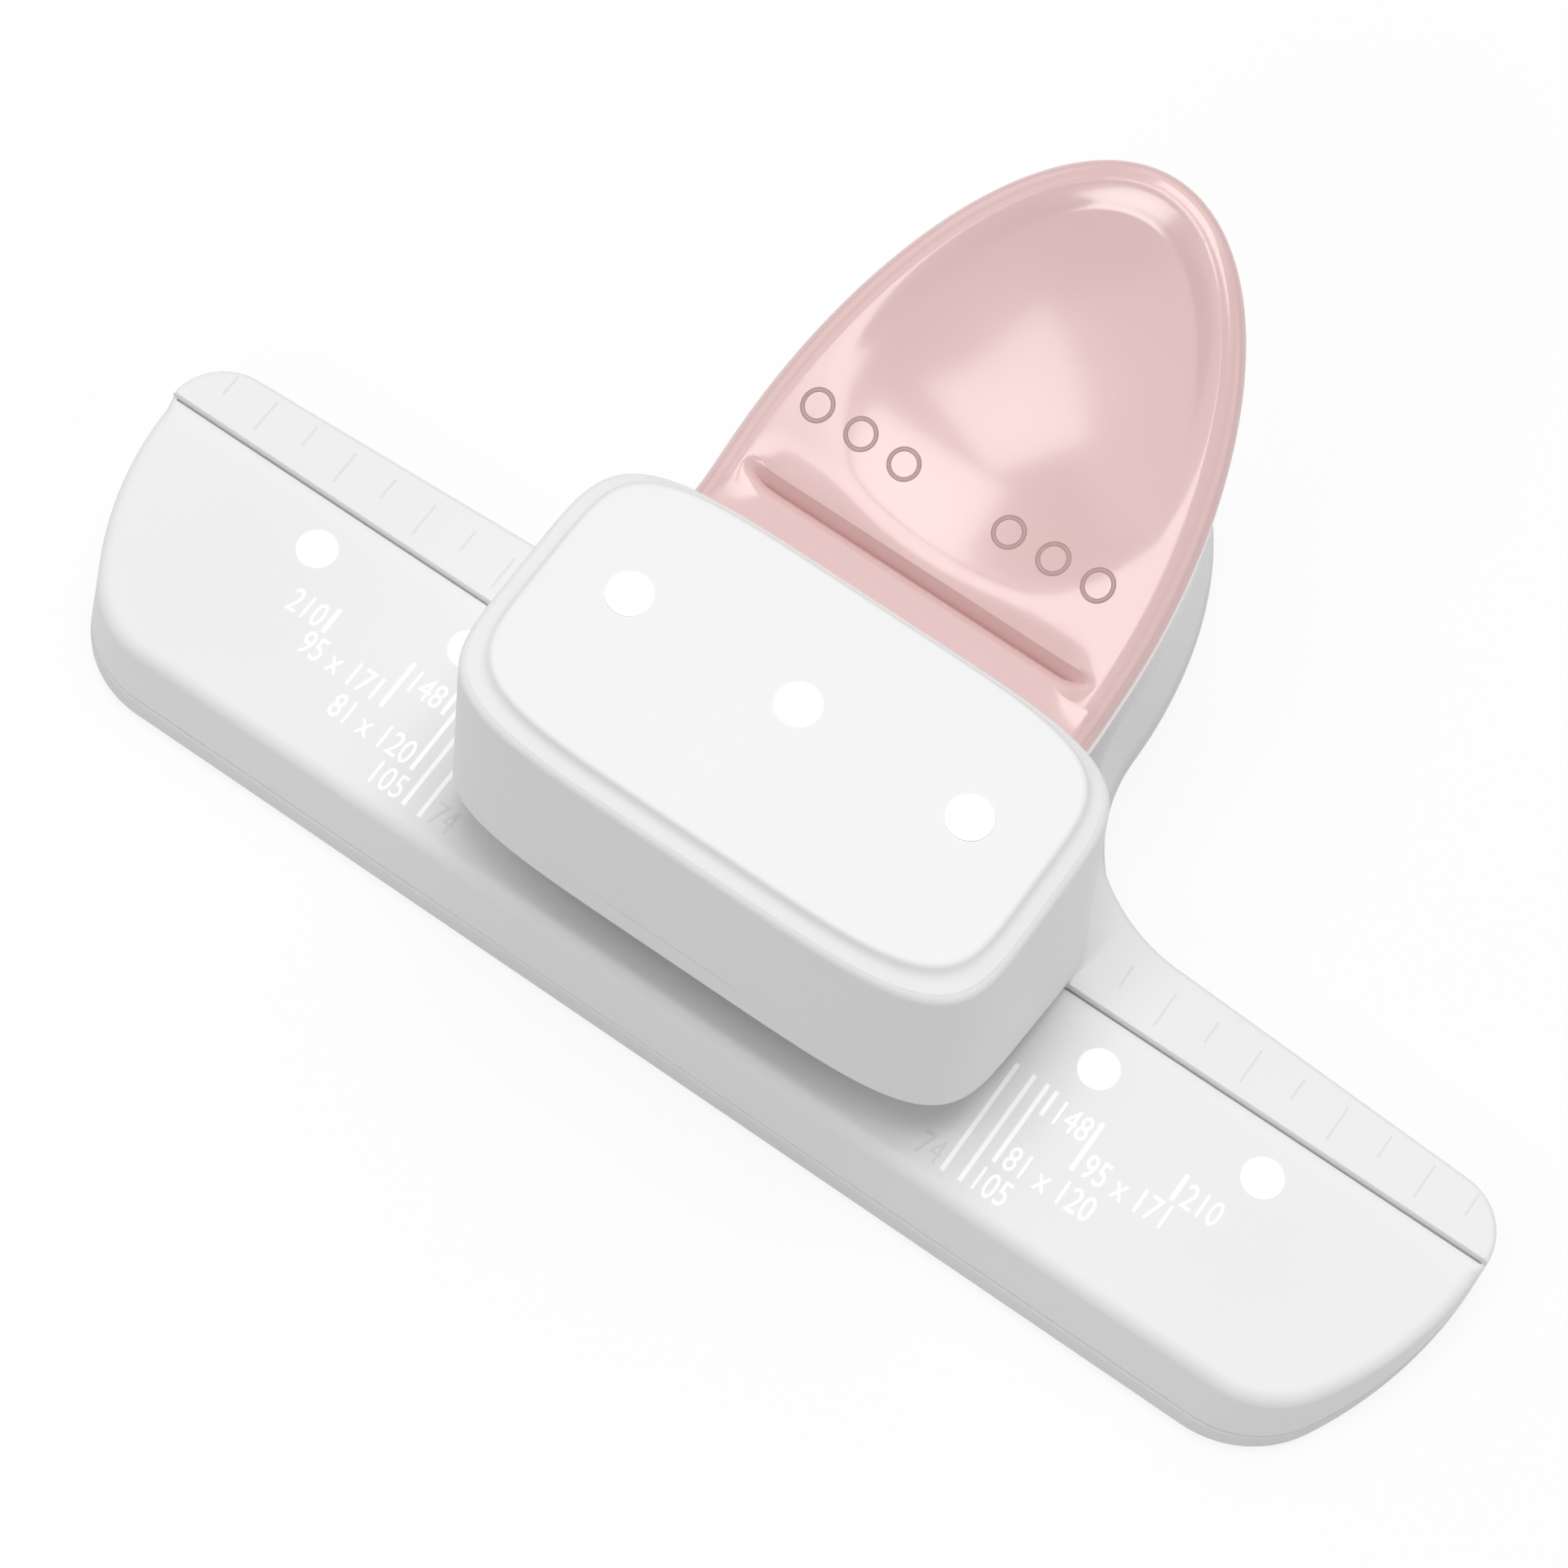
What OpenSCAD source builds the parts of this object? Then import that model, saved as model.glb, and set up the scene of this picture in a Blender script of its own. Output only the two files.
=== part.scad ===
// Three hole punch for six-ring planner pages.
// The punch line is the row of three pins; y runs from the front edge to the lever, z up from the table.

/* [Base] */
// Length of the base over its two ends
base_l = 158.6; // [150:0.1:175]
// Height of the paper deck above the table
deck_h = 10; // [9.6:0.1:14]
// Punch line to the front edge of the deck
deck_front = 19.6; // [18.6:0.1:23]
// Punch line to the back corner of the ruler strip
strip_back = 11.5; // [10.5:0.1:12.5]
// Radius of the bowed ends of the deck
end_r = 36; // [33:0.5:60]
// Radius of the front corners of the deck
corner_r = 10; // [6:0.5:12]
// Outward lean of the front wall between deck and table
flare_front = 3; // [1:0.1:4]
// Outward lean of the lower handle's walls
flare_side = 2; // [0.5:0.1:3]
// Radius of the hollow between the strip and the lower handle
neck_r = 20; // [17:0.5:22]
// Width of the lower handle
handle_w = 39.6; // [34:0.2:44]
// Punch line to the widest place of the lower handle
handle_mid = 33; // [32:0.5:36]
// Punch line to the tip of the lower handle
handle_tip = 66.5; // [62:0.5:75]
// Thickness of the moulded side walls
wall = 1.8; // [1.4:0.1:2.4]
// Thickness of the deck
deck_t = 2; // [1.6:0.1:2.4]
// Height of the bottom cover's rim
cover_h = 2.2; // [2:0.1:2.6]
// Thickness of the bottom cover's plate
cover_t = 1.6; // [1.4:0.1:1.8]

/* [Feet and screws] */
// Diameter of a rubber foot
foot_d = 9; // [6:0.5:9.5]
// How far the feet stand out of the bottom cover
foot_h = 0.8; // [0.5:0.1:1.5]
// Depth of the foot pockets
foot_sink = 0.4; // [0.3:0.1:0.6]
// Diameter of the screw shanks
screw_d = 2; // [1.6:0.1:2.2]
// Diameter of the screw heads
screw_head_d = 4; // [3.4:0.1:4.2]
// Thickness of the screw heads
screw_head_t = 1; // [0.8:0.1:1.1]

/* [Fence] */
// Punch line to the paper fence
fence_y = 5.2; // [4.6:0.1:5.6]
// Height of the ruler strip above the deck
strip_t = 1; // [0.6:0.1:1.4]

/* [Punches] */
// Distance between neighbouring holes
hole_pitch = 19; // [18.5:0.1:19.4]
// Diameter of the punched holes
hole_d = 4; // [3.6:0.1:4.2]
// Travel of the pins
stroke = 3.6; // [3.2:0.1:3.7]
// Height of the paper slot
paper_gap = 2; // [1.6:0.1:2.2]
// Distance between the two guide plates of the frame
guide_span = 8; // [7.4:0.1:9]
// Thickness of the frame's sheet steel
frame_t = 1.3; // [1:0.1:1.4]
// Thickness of the die plate
die_t = 2; // [1.6:0.1:2.2]
// Diameter of the pin heads
pin_head_d = 6.4; // [6:0.1:6.6]
// Thickness of the pin heads
pin_head_t = 2; // [1.4:0.1:2.4]
// Length of the return springs at rest
spring_l = 8.5; // [8:0.1:9.5]
// Wire diameter of the return springs
spring_wire = 0.6; // [0.4:0.05:0.65]
// Turns of the return springs
spring_turns = 5; // [4:1:6]
// Thickness of the retaining clips
clip_t = 0.7; // [0.5:0.05:0.8]

/* [Head] */
// Length of the head at its shoulder
head_l = 59.2; // [58:0.2:64]
// Depth of the head, front to back, at its shoulder
head_w = 32.4; // [32:0.2:34]
// Punch line to the back of the head at its shoulder
head_back = 14; // [13.8:0.1:14.6]
// Height of the head's shoulder above the deck
head_h = 35.5; // [34.8:0.1:40]
// Outward lean of the head's ends
head_flare = 1.5; // [0.8:0.1:2.5]
// Squareness of the head's outline, where 2 is an ellipse
head_square = 5; // [4.5:0.1:6]
// Thickness of the head's walls
head_wall = 1.8; // [1.4:0.1:2]
// Width of the shoulder round the lid
shoulder_w = 2.2; // [1.8:0.1:2.6]
// Height of the lid above the shoulder
lid_rise = 1.5; // [0.8:0.1:2.5]
// Height of the paper mouth at the front of the head
mouth_front = 9.5; // [7:0.1:11]

/* [Lever] */
// Width of the lever
lever_w = 44.8; // [42:0.2:45]
// Punch line to the widest place of the lever
lever_mid = 22; // [20:0.5:26]
// Punch line to the tip of the lever
lever_tip = 60; // [55:0.5:66]
// Slope of the lever, in degrees
lever_rise = 23.8; // [20:0.2:27]
// Hollow of the lever's slope in side view
lever_sag = 1.2; // [0.4:0.1:1.8]
// Thickness of the lever's skin over the steel arm
lever_skin = 3.2; // [2.8:0.1:3.6]
// Height of the lever's side edge
lever_edge = 4.8; // [4.2:0.1:5.2]
// Thickness of the lever's side skirt
lever_wall = 2; // [1.4:0.1:2.4]
// Depth of the cross groove behind the head
groove_depth = 1.6; // [0.8:0.1:1.9]
// Depth of the thumb dish
dish_depth = 1.6; // [0.8:0.1:1.9]
// Punch line to the pivot pin
pivot_reach = 11; // [10.6:0.1:11.2]
// Diameter of the pivot pin
pivot_d = 3; // [2.4:0.1:3.2]
// Diameter of the press bar
bar_d = 3; // [2.6:0.1:3.2]
// Thickness of the steel arm
arm_t = 1.5; // [1.2:0.1:1.6]

/* [Chip tray] */
// Length of the chip tray
tray_l = 67; // [58:0.5:72]
// Punch line to the front of the chip tray
tray_front = 15; // [12:0.5:15.5]
// Punch line to the tray's hinge
tray_hinge_y = 5.5; // [4:0.1:5.7]
// Thickness of the tray's floor and walls
tray_t = 1.2; // [1:0.1:1.4]
// Diameter of the tray's hinge pins
tray_pin_d = 2; // [1.6:0.1:2.2]

/* [Clearances] */
// Running clearance of pins in their bores, on the radius
run_fit = 0.05; // [0.02:0.01:0.08]
// Clearance of a piece set into its recess
set_fit = 0.1; // [0.05:0.01:0.2]
// Clearance between pieces that pass each other
pass_gap = 0.3; // [0.2:0.05:0.35]
// Clearance of the lever in its slot
slot_gap = 0.6; // [0.4:0.05:1]

/* [Hidden] */
$fn = 48;
// A cut reaches this far past the faces it opens
past = 1;

// Colours
shell_white = [0.95, 0.95, 0.95];
lever_pink = [0.90, 0.76, 0.75];
bright_steel = [0.72, 0.73, 0.75];
spring_steel = [0.55, 0.56, 0.58];
foot_grey = [0.35, 0.35, 0.36];
tray_white = [0.88, 0.88, 0.87];

// The origin is under the middle of the whole object, so the punch line lies in front of it
datum_y = -(handle_tip + flare_side - deck_front - flare_front) / 2;

// Heights above the table, from the feet up to the pins
bottom_z = foot_h;
plate_z = bottom_z + cover_t;
seam_z = bottom_z + cover_h;
die_z = deck_h - die_t;
seat_t = 1.5;
seat_z = die_z - seat_t;
under_deck_z = deck_h - deck_t;
guide_z = deck_h + paper_gap;
upper_guide_z = guide_z + guide_span;
upper_guide_top = upper_guide_z + frame_t;
tip_set_back = 0.2;
grind_depth = 0.6;
pin_tip_z = guide_z + tip_set_back;
spring_seat_gap = 0.05;
pin_neck_z = upper_guide_top + spring_l + 2 * spring_seat_gap;
pin_top_z = pin_neck_z + pin_head_t;
pin_r = hole_d / 2;
pin_xs = [-hole_pitch, 0, hole_pitch];

// The lever pushes the pins level with its pivot at half travel, so it swings alike above and below
bar_z = pin_top_z + run_fit + bar_d / 2;
pivot_z = bar_z - stroke / 2;
press_deg = 2 * atan(stroke / 2 / pivot_reach);
function pressed_z(y, z) =
    pivot_z + (z - pivot_z) * cos(press_deg) - (y + pivot_reach) * sin(press_deg);

// Lever heights and its sloping top line, which starts level behind the head
arm_lo_z = bar_z + bar_d / 2 + pass_gap;
arm_hi_z = arm_lo_z + arm_t;
root_z = arm_hi_z + lever_skin;
root_y = 3;
lever_flat = 3.5;
rise_y = head_back + lever_flat;
tip_rise = (lever_tip - rise_y) * tan(lever_rise);
slope_steps = 20;
groove_off = 3;
groove_r = 3;
dish_r = 60;
dish_share = 0.58;
tongue_steps = 12;
tongue_side = 6;
function slope_at(u, drop) = [
    rise_y + (lever_tip - rise_y) * u,
    root_z + tip_rise * u - 4 * lever_sag * u * (1 - u) - drop
];

// Head heights
shoulder_z = deck_h + head_h;
roof_t = 2.6;
lid_seat_t = 1.1;
lid_z = shoulder_z - roof_t + lid_seat_t;
lid_seat_w = 1.5;
lid_plug_h = 2;
lid_plug_t = 1.2;
head_mid = head_back - head_w / 2;
head_flare_y = 0.3;
mouth_lip = 0.2;
mouth_back = paper_gap + mouth_lip;
slot_top_z = root_z + slot_gap;
slot_floor_z = pressed_z(head_back + head_flare_y + past, root_z - lever_edge) - slot_gap;

// Frame places, across and along the object
fence_t = 1.4;
fence_back = fence_y + fence_t;
web_y = fence_back + pass_gap;
web_back = web_y + frame_t;
guide_rim = 3;
guide_front = -pin_r - guide_rim;
ear_rim = 1.3;
ear_r = pivot_d / 2 + ear_rim;
cheek_in = hole_pitch + pin_head_d / 2 + pass_gap;
cheek_out = cheek_in + arm_t;
cheek_back = web_back + frame_t;
ear_in = cheek_out + pass_gap;
ear_out = ear_in + frame_t;
back_wall_in = head_back + head_flare_y - head_wall;
flange_back = back_wall_in - 2 * set_fit;
die_lip = 0.5;
die_front = guide_front - die_lip;
chip_play = 0.6;
chip_hole_r = pin_r + chip_play;

// Screws of the frame, the casing and the lever, with what is left of a boss past its hole
screw_wall = 1;
boss_floor = 0.5;
boss_r = screw_d / 2 + screw_wall;
frame_screw = [hole_pitch / 2, web_back + screw_head_d / 2 + set_fit];
foot_half = frame_screw.x + screw_head_d;
frame_boss_h = 3;
frame_screw_l = deck_h + frame_t - seat_z + frame_boss_h - 2 * boss_floor;
head_screw = [ear_out + boss_r + set_fit, web_back + screw_head_d / 4];
head_boss_h = 10;
head_hole_h = head_boss_h - 2 * boss_floor;
head_screw_l = deck_h - seat_z + head_hole_h - 3 * boss_floor;
seat_half = head_screw.x + boss_r + screw_wall;
lever_screw = [hole_pitch / 2, (root_y + cheek_back) / 2];
lever_hole_h = lever_skin - 2 * boss_floor;
lever_screw_l = arm_t + lever_hole_h - 2 * set_fit;

// Retaining clips sit in grooves and are open on one side
clip_groove = 0.5;
clip_rim = 1.2;
clip_z = upper_guide_z - pass_gap - clip_t;
pivot_clip_x = ear_out + pass_gap;
pivot_clip_rim = 0.7;
pivot_end = 0.4;
pivot_half = pivot_clip_x + clip_t + pivot_end;

// Chip tray places; its hinge barrel lies a little above its underside and runs a little into its back wall
knuckle_rim = 0.6;
knuckle_join = 0.2;
knuckle_r = tray_pin_d / 2 + knuckle_rim;
tray_hinge_z = bottom_z + knuckle_r + knuckle_join;
tray_headroom = 0.7;
tray_top_z = seat_z - tray_headroom;
tray_gap = 0.6;
tray_half = tray_l / 2;
tray_lug_t = 2.6;
tray_pin_in = 2.4;
tray_back_wall_y = tray_hinge_y - knuckle_r - tray_t + knuckle_join;
tray_lug_x = tray_half + tray_gap;

// Screws and feet of the bottom cover, kept at fixed distances from the ends, the fence and the tip
pad_r = screw_head_d / 2 + screw_wall + set_fit;
screw_sink = screw_head_t + set_fit;
base_screw_l = under_deck_z - bottom_z - screw_sink - boss_floor - set_fit;
end_screw_in = [13.3, 10.2];
lug_screw_off = [4, 0.8];
tip_screw_in = [10.8, 18.5];
screw_spots = [
    [base_l / 2 - end_screw_in.x, fence_y - end_screw_in.y],
    [tray_lug_x + tray_lug_t + pad_r + lug_screw_off.x, fence_y + lug_screw_off.y],
    [handle_w / 2 - tip_screw_in.x, handle_tip - tip_screw_in.y]
];
front_foot_in = [15.3, 5.6];
end_foot_in = [13.3, 0.2];
tip_foot_in = [10.8, 8.5];
foot_spots = [
    [base_l / 2 - front_foot_in.x, front_foot_in.y - deck_front],
    [base_l / 2 - end_foot_in.x, fence_y - end_foot_in.y],
    [handle_w / 2 - tip_foot_in.x, handle_tip - tip_foot_in.y]
];

// Locating pegs of the casing, which drop into the deck
peg_r = 1.5;
peg_l = 4;
end_peg_in = 21.3;
grip_peg_off = [7.8, 7];
peg_spots = [
    [base_l / 2 - end_peg_in, (fence_y + strip_back) / 2],
    [handle_w / 2 - grip_peg_off.x, handle_mid + grip_peg_off.y]
];

// Outline points, and how far the bowed ends and the corners open out towards the table
arc_steps = 8;
neck_steps = 12;
grip_steps = 14;
end_r_grow = 10;
corner_r_grow = 2;
head_step = 5;

// Round stretch of an outline
function arc(mid, r, from, to, steps) =
    [for (i = [0:steps]) let (a = from + (to - from) * i / steps) mid + r * [cos(a), sin(a)]];

function tail(points) = [for (i = [1:len(points) - 1]) points[i]];

// Both halves of an outline from its right half, which ends on the middle line
function both_sides(half) =
    concat(half, [for (i = [len(half) - 2:-1:0]) [-half[i].x, half[i].y]]);

// Base outline at a share of its lean, 0 at the deck and 1 at the table, moved inwards by inset
function base_outline(lean, inset = 0) =
    let (
        half = base_l / 2 - inset,
        er = end_r + lean * end_r_grow - inset,
        cr = corner_r + lean * corner_r_grow - inset,
        front = deck_front + lean * flare_front - inset,
        end_mid = [half - er, fence_y],
        corner_y = cr - front,
        corner_x = end_mid.x + sqrt(pow(er - cr, 2) - pow(corner_y - fence_y, 2)),
        meet = atan2(corner_y - fence_y, corner_x - end_mid.x),
        back_r = strip_back - fence_y - inset,
        hollow_mid = [handle_w / 2 + neck_r, handle_mid],
        hollow_r = neck_r - lean * flare_side + inset,
        grip = handle_w / 2 + lean * flare_side - inset,
        reach = handle_tip + lean * flare_side - inset - handle_mid
    )
    both_sides(concat(
        arc([corner_x, corner_y], cr, -90, meet, arc_steps),
        tail(arc(end_mid, er, meet, 0, arc_steps)),
        tail(arc([half - back_r, fence_y], back_r, 0, 90, arc_steps)),
        arc(hollow_mid, hollow_r, 270, 180, neck_steps),
        [for (i = [1:grip_steps])
            [grip * cos(90 * i / grip_steps), handle_mid + reach * sin(90 * i / grip_steps)]]
    ));

function lean_at(z) = (deck_h - z) / (deck_h - bottom_z);

// Rounded-square outline of the head
function signed_pow(v, e) = sign(v) * pow(abs(v), e);
function head_outline(half_l, half_w, mid) = both_sides([
    for (a = concat([for (a = [head_step / 2 - 90:head_step:90 - head_step / 2]) a], [90]))
    [half_l * signed_pow(cos(a), 2 / head_square), mid + half_w * signed_pow(sin(a), 2 / head_square)]
]);

function lever_half(y, inset) =
    y < lever_mid ? lever_w / 2 - inset
    : (lever_w / 2 - inset) * sqrt(1 - pow((y - lever_mid) / (lever_tip - inset - lever_mid), 2));

// Solid between two heights, from two outlines of both_sides with as many points; strips close its ends
module loft(low, low_z, high, high_z) {
    n = len(low);
    half = (n + 1) / 2;
    points = concat([for (p = low) [p.x, p.y, low_z]], [for (p = high) [p.x, p.y, high_z]]);
    sides = [for (i = [0:n - 1]) let (j = (i + 1) % n) each [[i, n + i, j], [j, n + i, n + j]]];
    strips = [for (i = [0:half - 2]) let (j = n - 1 - i)
        each i + 2 == j ? [[i, i + 1, j]] : [[i, i + 1, j], [i + 1, j - 1, j]]];
    polyhedron(points, concat(sides, strips, [for (t = strips) [n + t[2], n + t[1], n + t[0]]]));
}

module on_datum() translate([0, datum_y, 0]) children();

module mirrored() {
    children();
    mirror([1, 0, 0]) children();
}

module block(low, high) translate(low) cube(high - low);

// Side view in y and z, drawn out across the object from x0 to x1
module across(x0, x1) translate([x0, 0, 0]) rotate([90, 0, 90]) linear_extrude(x1 - x0) children();

module rod_x(x0, x1, y, z, r) translate([x0, y, z]) rotate([0, 90, 0]) cylinder(h = x1 - x0, r = r);

module post(spot, z0, z1, r) translate([spot.x, spot.y, z0]) cylinder(h = z1 - z0, r = r);

// Screw with its head downwards and the seat of the head at z = 0
module screw(length) {
    driver = screw_head_d * 0.6;
    slot_w = screw_head_d * 0.16;
    slot_depth = screw_head_t * 0.6;
    cylinder(h = length, d = screw_d);
    difference() {
        translate([0, 0, -screw_head_t]) cylinder(h = screw_head_t, d = screw_head_d);
        for (turn = [0, 90]) rotate(turn)
            block([-driver / 2, -slot_w / 2, -screw_head_t - past],
                  [driver / 2, slot_w / 2, slot_depth - screw_head_t]);
    }
}

// Open retaining clip round the z axis
module clip(shaft_r, rim) {
    inner = shaft_r - clip_groove + set_fit;
    mouth = inner * 1.5;
    difference() {
        cylinder(h = clip_t - set_fit, r = shaft_r + rim);
        translate([0, 0, -past]) cylinder(h = clip_t + 2 * past, r = inner);
        translate([-mouth / 2, 0, -past]) cube([mouth, shaft_r + rim + past, clip_t + 2 * past]);
    }
}

module base_shell() color(shell_white) on_datum() {
    window = [ear_out + set_fit, flange_back + set_fit];
    difference() {
        union() {
            difference() {
                loft(base_outline(lean_at(seam_z)), seam_z, base_outline(0), deck_h);
                loft(base_outline(lean_at(seam_z), wall), seam_z - past,
                     base_outline(lean_at(under_deck_z), wall), under_deck_z);
            }
            block([-seat_half, die_front - wall, seat_z],
                  [seat_half, flange_back + wall, under_deck_z + set_fit]);
            mirrored() {
                post(frame_screw, seat_z - frame_boss_h, seat_z + set_fit, boss_r + screw_wall / 2);
                for (spot = screw_spots) post(spot, seam_z, under_deck_z + set_fit, pad_r);
            }
        }
        block([-window.x, die_front - set_fit, die_z], [window.x, window.y, deck_h + past]);
        for (x = pin_xs) post([x, 0], seat_z - past, deck_h, chip_hole_r);
        mirrored() {
            post(frame_screw, seat_z - frame_boss_h + boss_floor, die_z + past, screw_d / 2 + run_fit);
            post(head_screw, seat_z - past, deck_h + past, screw_d / 2 + set_fit);
            for (spot = screw_spots)
                post(spot, seam_z - past, under_deck_z - boss_floor, screw_d / 2 + run_fit);
            for (spot = peg_spots) post(spot, seam_z, deck_h + past, peg_r + set_fit);
        }
    }
}

module base_cover() color(shell_white) on_datum() {
    opening_front = -tray_front - tray_gap;
    opening_back = tray_hinge_y + knuckle_r + tray_gap;
    lug_end = tray_lug_x + tray_lug_t;
    difference() {
        union() {
            difference() {
                loft(base_outline(1), bottom_z, base_outline(lean_at(seam_z)), seam_z);
                loft(base_outline(1, wall), plate_z,
                     base_outline(lean_at(seam_z + past), wall), seam_z + past);
            }
            mirrored() {
                for (spot = screw_spots) post(spot, bottom_z, seam_z, pad_r);
                block([tray_lug_x, tray_hinge_y - knuckle_r, bottom_z],
                      [lug_end, tray_hinge_y + knuckle_r, tray_hinge_z]);
                rod_x(tray_lug_x, lug_end, tray_hinge_y, tray_hinge_z, knuckle_r);
            }
        }
        block([-tray_lug_x, opening_front, bottom_z - past], [tray_lug_x, opening_back, seam_z + past]);
        rod_x(-lug_end - past, lug_end + past, tray_hinge_y, tray_hinge_z, tray_pin_d / 2 + run_fit / 2);
        mirrored() {
            for (spot = screw_spots) {
                post(spot, bottom_z - past, bottom_z + screw_sink, screw_head_d / 2 + set_fit);
                post(spot, bottom_z, seam_z + past, screw_d / 2 + set_fit);
            }
            for (spot = foot_spots) post(spot, bottom_z - past, bottom_z + foot_sink, foot_d / 2 + set_fit);
        }
    }
}

module rubber_feet() color(foot_grey) on_datum()
    mirrored() for (spot = foot_spots) post(spot, 0, bottom_z + foot_sink, foot_d / 2);

module base_screws() color(bright_steel) on_datum()
    mirrored() for (spot = screw_spots)
        translate([spot.x, spot.y, bottom_z + screw_sink]) screw(base_screw_l);

module chip_tray() color(tray_white) on_datum() {
    wall_x = tray_half - tray_t;
    wall_back = tray_back_wall_y + tray_t;
    difference() {
        union() {
            block([-tray_half, -tray_front, bottom_z], [tray_half, tray_hinge_y, bottom_z + tray_t]);
            block([-tray_half, -tray_front, bottom_z], [tray_half, tray_t - tray_front, tray_top_z]);
            block([-tray_half, tray_back_wall_y, bottom_z], [tray_half, wall_back, tray_top_z]);
            mirrored() block([wall_x, -tray_front, bottom_z], [tray_half, wall_back, tray_top_z]);
            rod_x(-tray_half, tray_half, tray_hinge_y, tray_hinge_z, knuckle_r);
        }
        mirrored() rod_x(tray_half - tray_pin_in - set_fit, tray_half + past, tray_hinge_y, tray_hinge_z,
                         tray_pin_d / 2 + run_fit);
    }
}

module tray_hinge_pins() color(bright_steel) on_datum()
    mirrored() rod_x(tray_half - tray_pin_in, tray_lug_x + tray_lug_t, tray_hinge_y, tray_hinge_z,
                     tray_pin_d / 2);

module die_plate() color(bright_steel) on_datum() difference() {
    block([-ear_out, die_front, die_z], [ear_out, flange_back, deck_h]);
    for (x = pin_xs) post([x, 0], die_z - past, deck_h + past, pin_r + run_fit);
    mirrored() post(frame_screw, die_z - past, deck_h + past, screw_d / 2 + set_fit);
}

// Bent steel bracket: foot, web, two guide plates and the ears that hold the lever's pivot
module punch_frame() color(bright_steel) on_datum() difference() {
    union() {
        block([-foot_half, web_y, deck_h], [foot_half, flange_back, deck_h + frame_t]);
        block([-ear_out, web_y, deck_h], [ear_out, web_back, upper_guide_top]);
        block([-cheek_out, guide_front, guide_z], [cheek_out, web_back, guide_z + frame_t]);
        block([-ear_out, guide_front, upper_guide_z], [ear_out, web_back, upper_guide_top]);
        mirrored() across(ear_in, ear_out) {
            translate([-pivot_reach, pivot_z]) circle(r = ear_r);
            polygon([
                [web_back, upper_guide_z], [web_back, upper_guide_top + 2 * frame_t],
                [ear_r - pivot_reach, pivot_z], [-ear_r - pivot_reach, pivot_z],
                [-ear_r - pivot_reach, upper_guide_z]
            ]);
        }
    }
    for (x = pin_xs) post([x, 0], guide_z - past, upper_guide_top + past, pin_r + run_fit);
    rod_x(-ear_out - past, ear_out + past, -pivot_reach, pivot_z, pivot_d / 2 + run_fit / 2);
    mirrored() post(frame_screw, deck_h - past, deck_h + frame_t + past, screw_d / 2 + set_fit);
}

module frame_screws() color(bright_steel) on_datum()
    mirrored() translate([frame_screw.x, frame_screw.y, deck_h + frame_t])
        mirror([0, 0, 1]) screw(frame_screw_l);

// Room in the casing for the frame, the pivot's ends and their clips
module frame_room() {
    room = set_fit / 2;
    ear_top = pivot_z + ear_r + room;
    ear_front = -pivot_reach - ear_r - room;
    clip_end = pivot_clip_x + clip_t + room;
    across(-ear_out - room, ear_out + room) polygon([
        [ear_front, guide_z], [ear_front, ear_top], [web_back + room, ear_top],
        [web_back + room, deck_h - past], [web_y - room, deck_h - past], [web_y - room, guide_z]
    ]);
    rod_x(-pivot_half - room, pivot_half + room, -pivot_reach, pivot_z, pivot_d / 2 + room);
    rod_x(-clip_end, clip_end, -pivot_reach, pivot_z, pivot_d / 2 + pivot_clip_rim + room);
}

// Casing of the head in one piece with the ruler strip, whose front edge is the paper fence
module head_cover() color(shell_white) on_datum() {
    half_l = head_l / 2;
    half_w = head_w / 2;
    low_l = half_l + head_flare;
    low_w = half_w + head_flare_y;
    lid_l = half_l - shoulder_w;
    lid_w = half_w - shoulder_w;
    difference() {
        union() {
            difference() {
                union() {
                    loft(head_outline(low_l, low_w, head_mid), deck_h,
                         head_outline(half_l, half_w, head_mid), shoulder_z);
                    intersection() {
                        translate([0, 0, deck_h]) linear_extrude(strip_t) polygon(base_outline(0));
                        block([-base_l, fence_y, deck_h - past], [base_l, 2 * handle_tip, shoulder_z]);
                    }
                }
                loft(head_outline(low_l - head_wall, low_w - head_wall, head_mid), deck_h - past,
                     head_outline(half_l - head_wall, half_w - head_wall, head_mid), shoulder_z - roof_t);
            }
            block([head_wall - low_l, fence_y, deck_h],
                  [low_l - head_wall, fence_back, guide_z - set_fit]);
            mirrored() {
                intersection() {
                    post(head_screw, deck_h, deck_h + head_boss_h, boss_r);
                    block([ear_out + set_fit, fence_y, 0], [low_l - head_wall / 2, head_back, shoulder_z]);
                }
                for (spot = peg_spots) post(spot, deck_h - peg_l, deck_h + strip_t, peg_r);
            }
        }
        across(-low_l - past, low_l + past) polygon([
            [fence_y, deck_h - past], [fence_y, deck_h + mouth_back],
            [head_mid - low_w, deck_h + mouth_front], [-deck_front - flare_front, deck_h + mouth_front],
            [-deck_front - flare_front, deck_h - past]
        ]);
        block([-lever_w / 2 - slot_gap, web_back, slot_floor_z],
              [lever_w / 2 + slot_gap, handle_mid, slot_top_z]);
        translate([0, 0, lid_z]) linear_extrude(roof_t)
            polygon(head_outline(lid_l + set_fit, lid_w + set_fit, head_mid));
        translate([0, 0, shoulder_z - roof_t - past]) linear_extrude(roof_t)
            polygon(head_outline(lid_l - lid_seat_w, lid_w - lid_seat_w, head_mid));
        mirrored() post(head_screw, deck_h - past, deck_h + head_hole_h, screw_d / 2 + run_fit);
        frame_room();
    }
}

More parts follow.
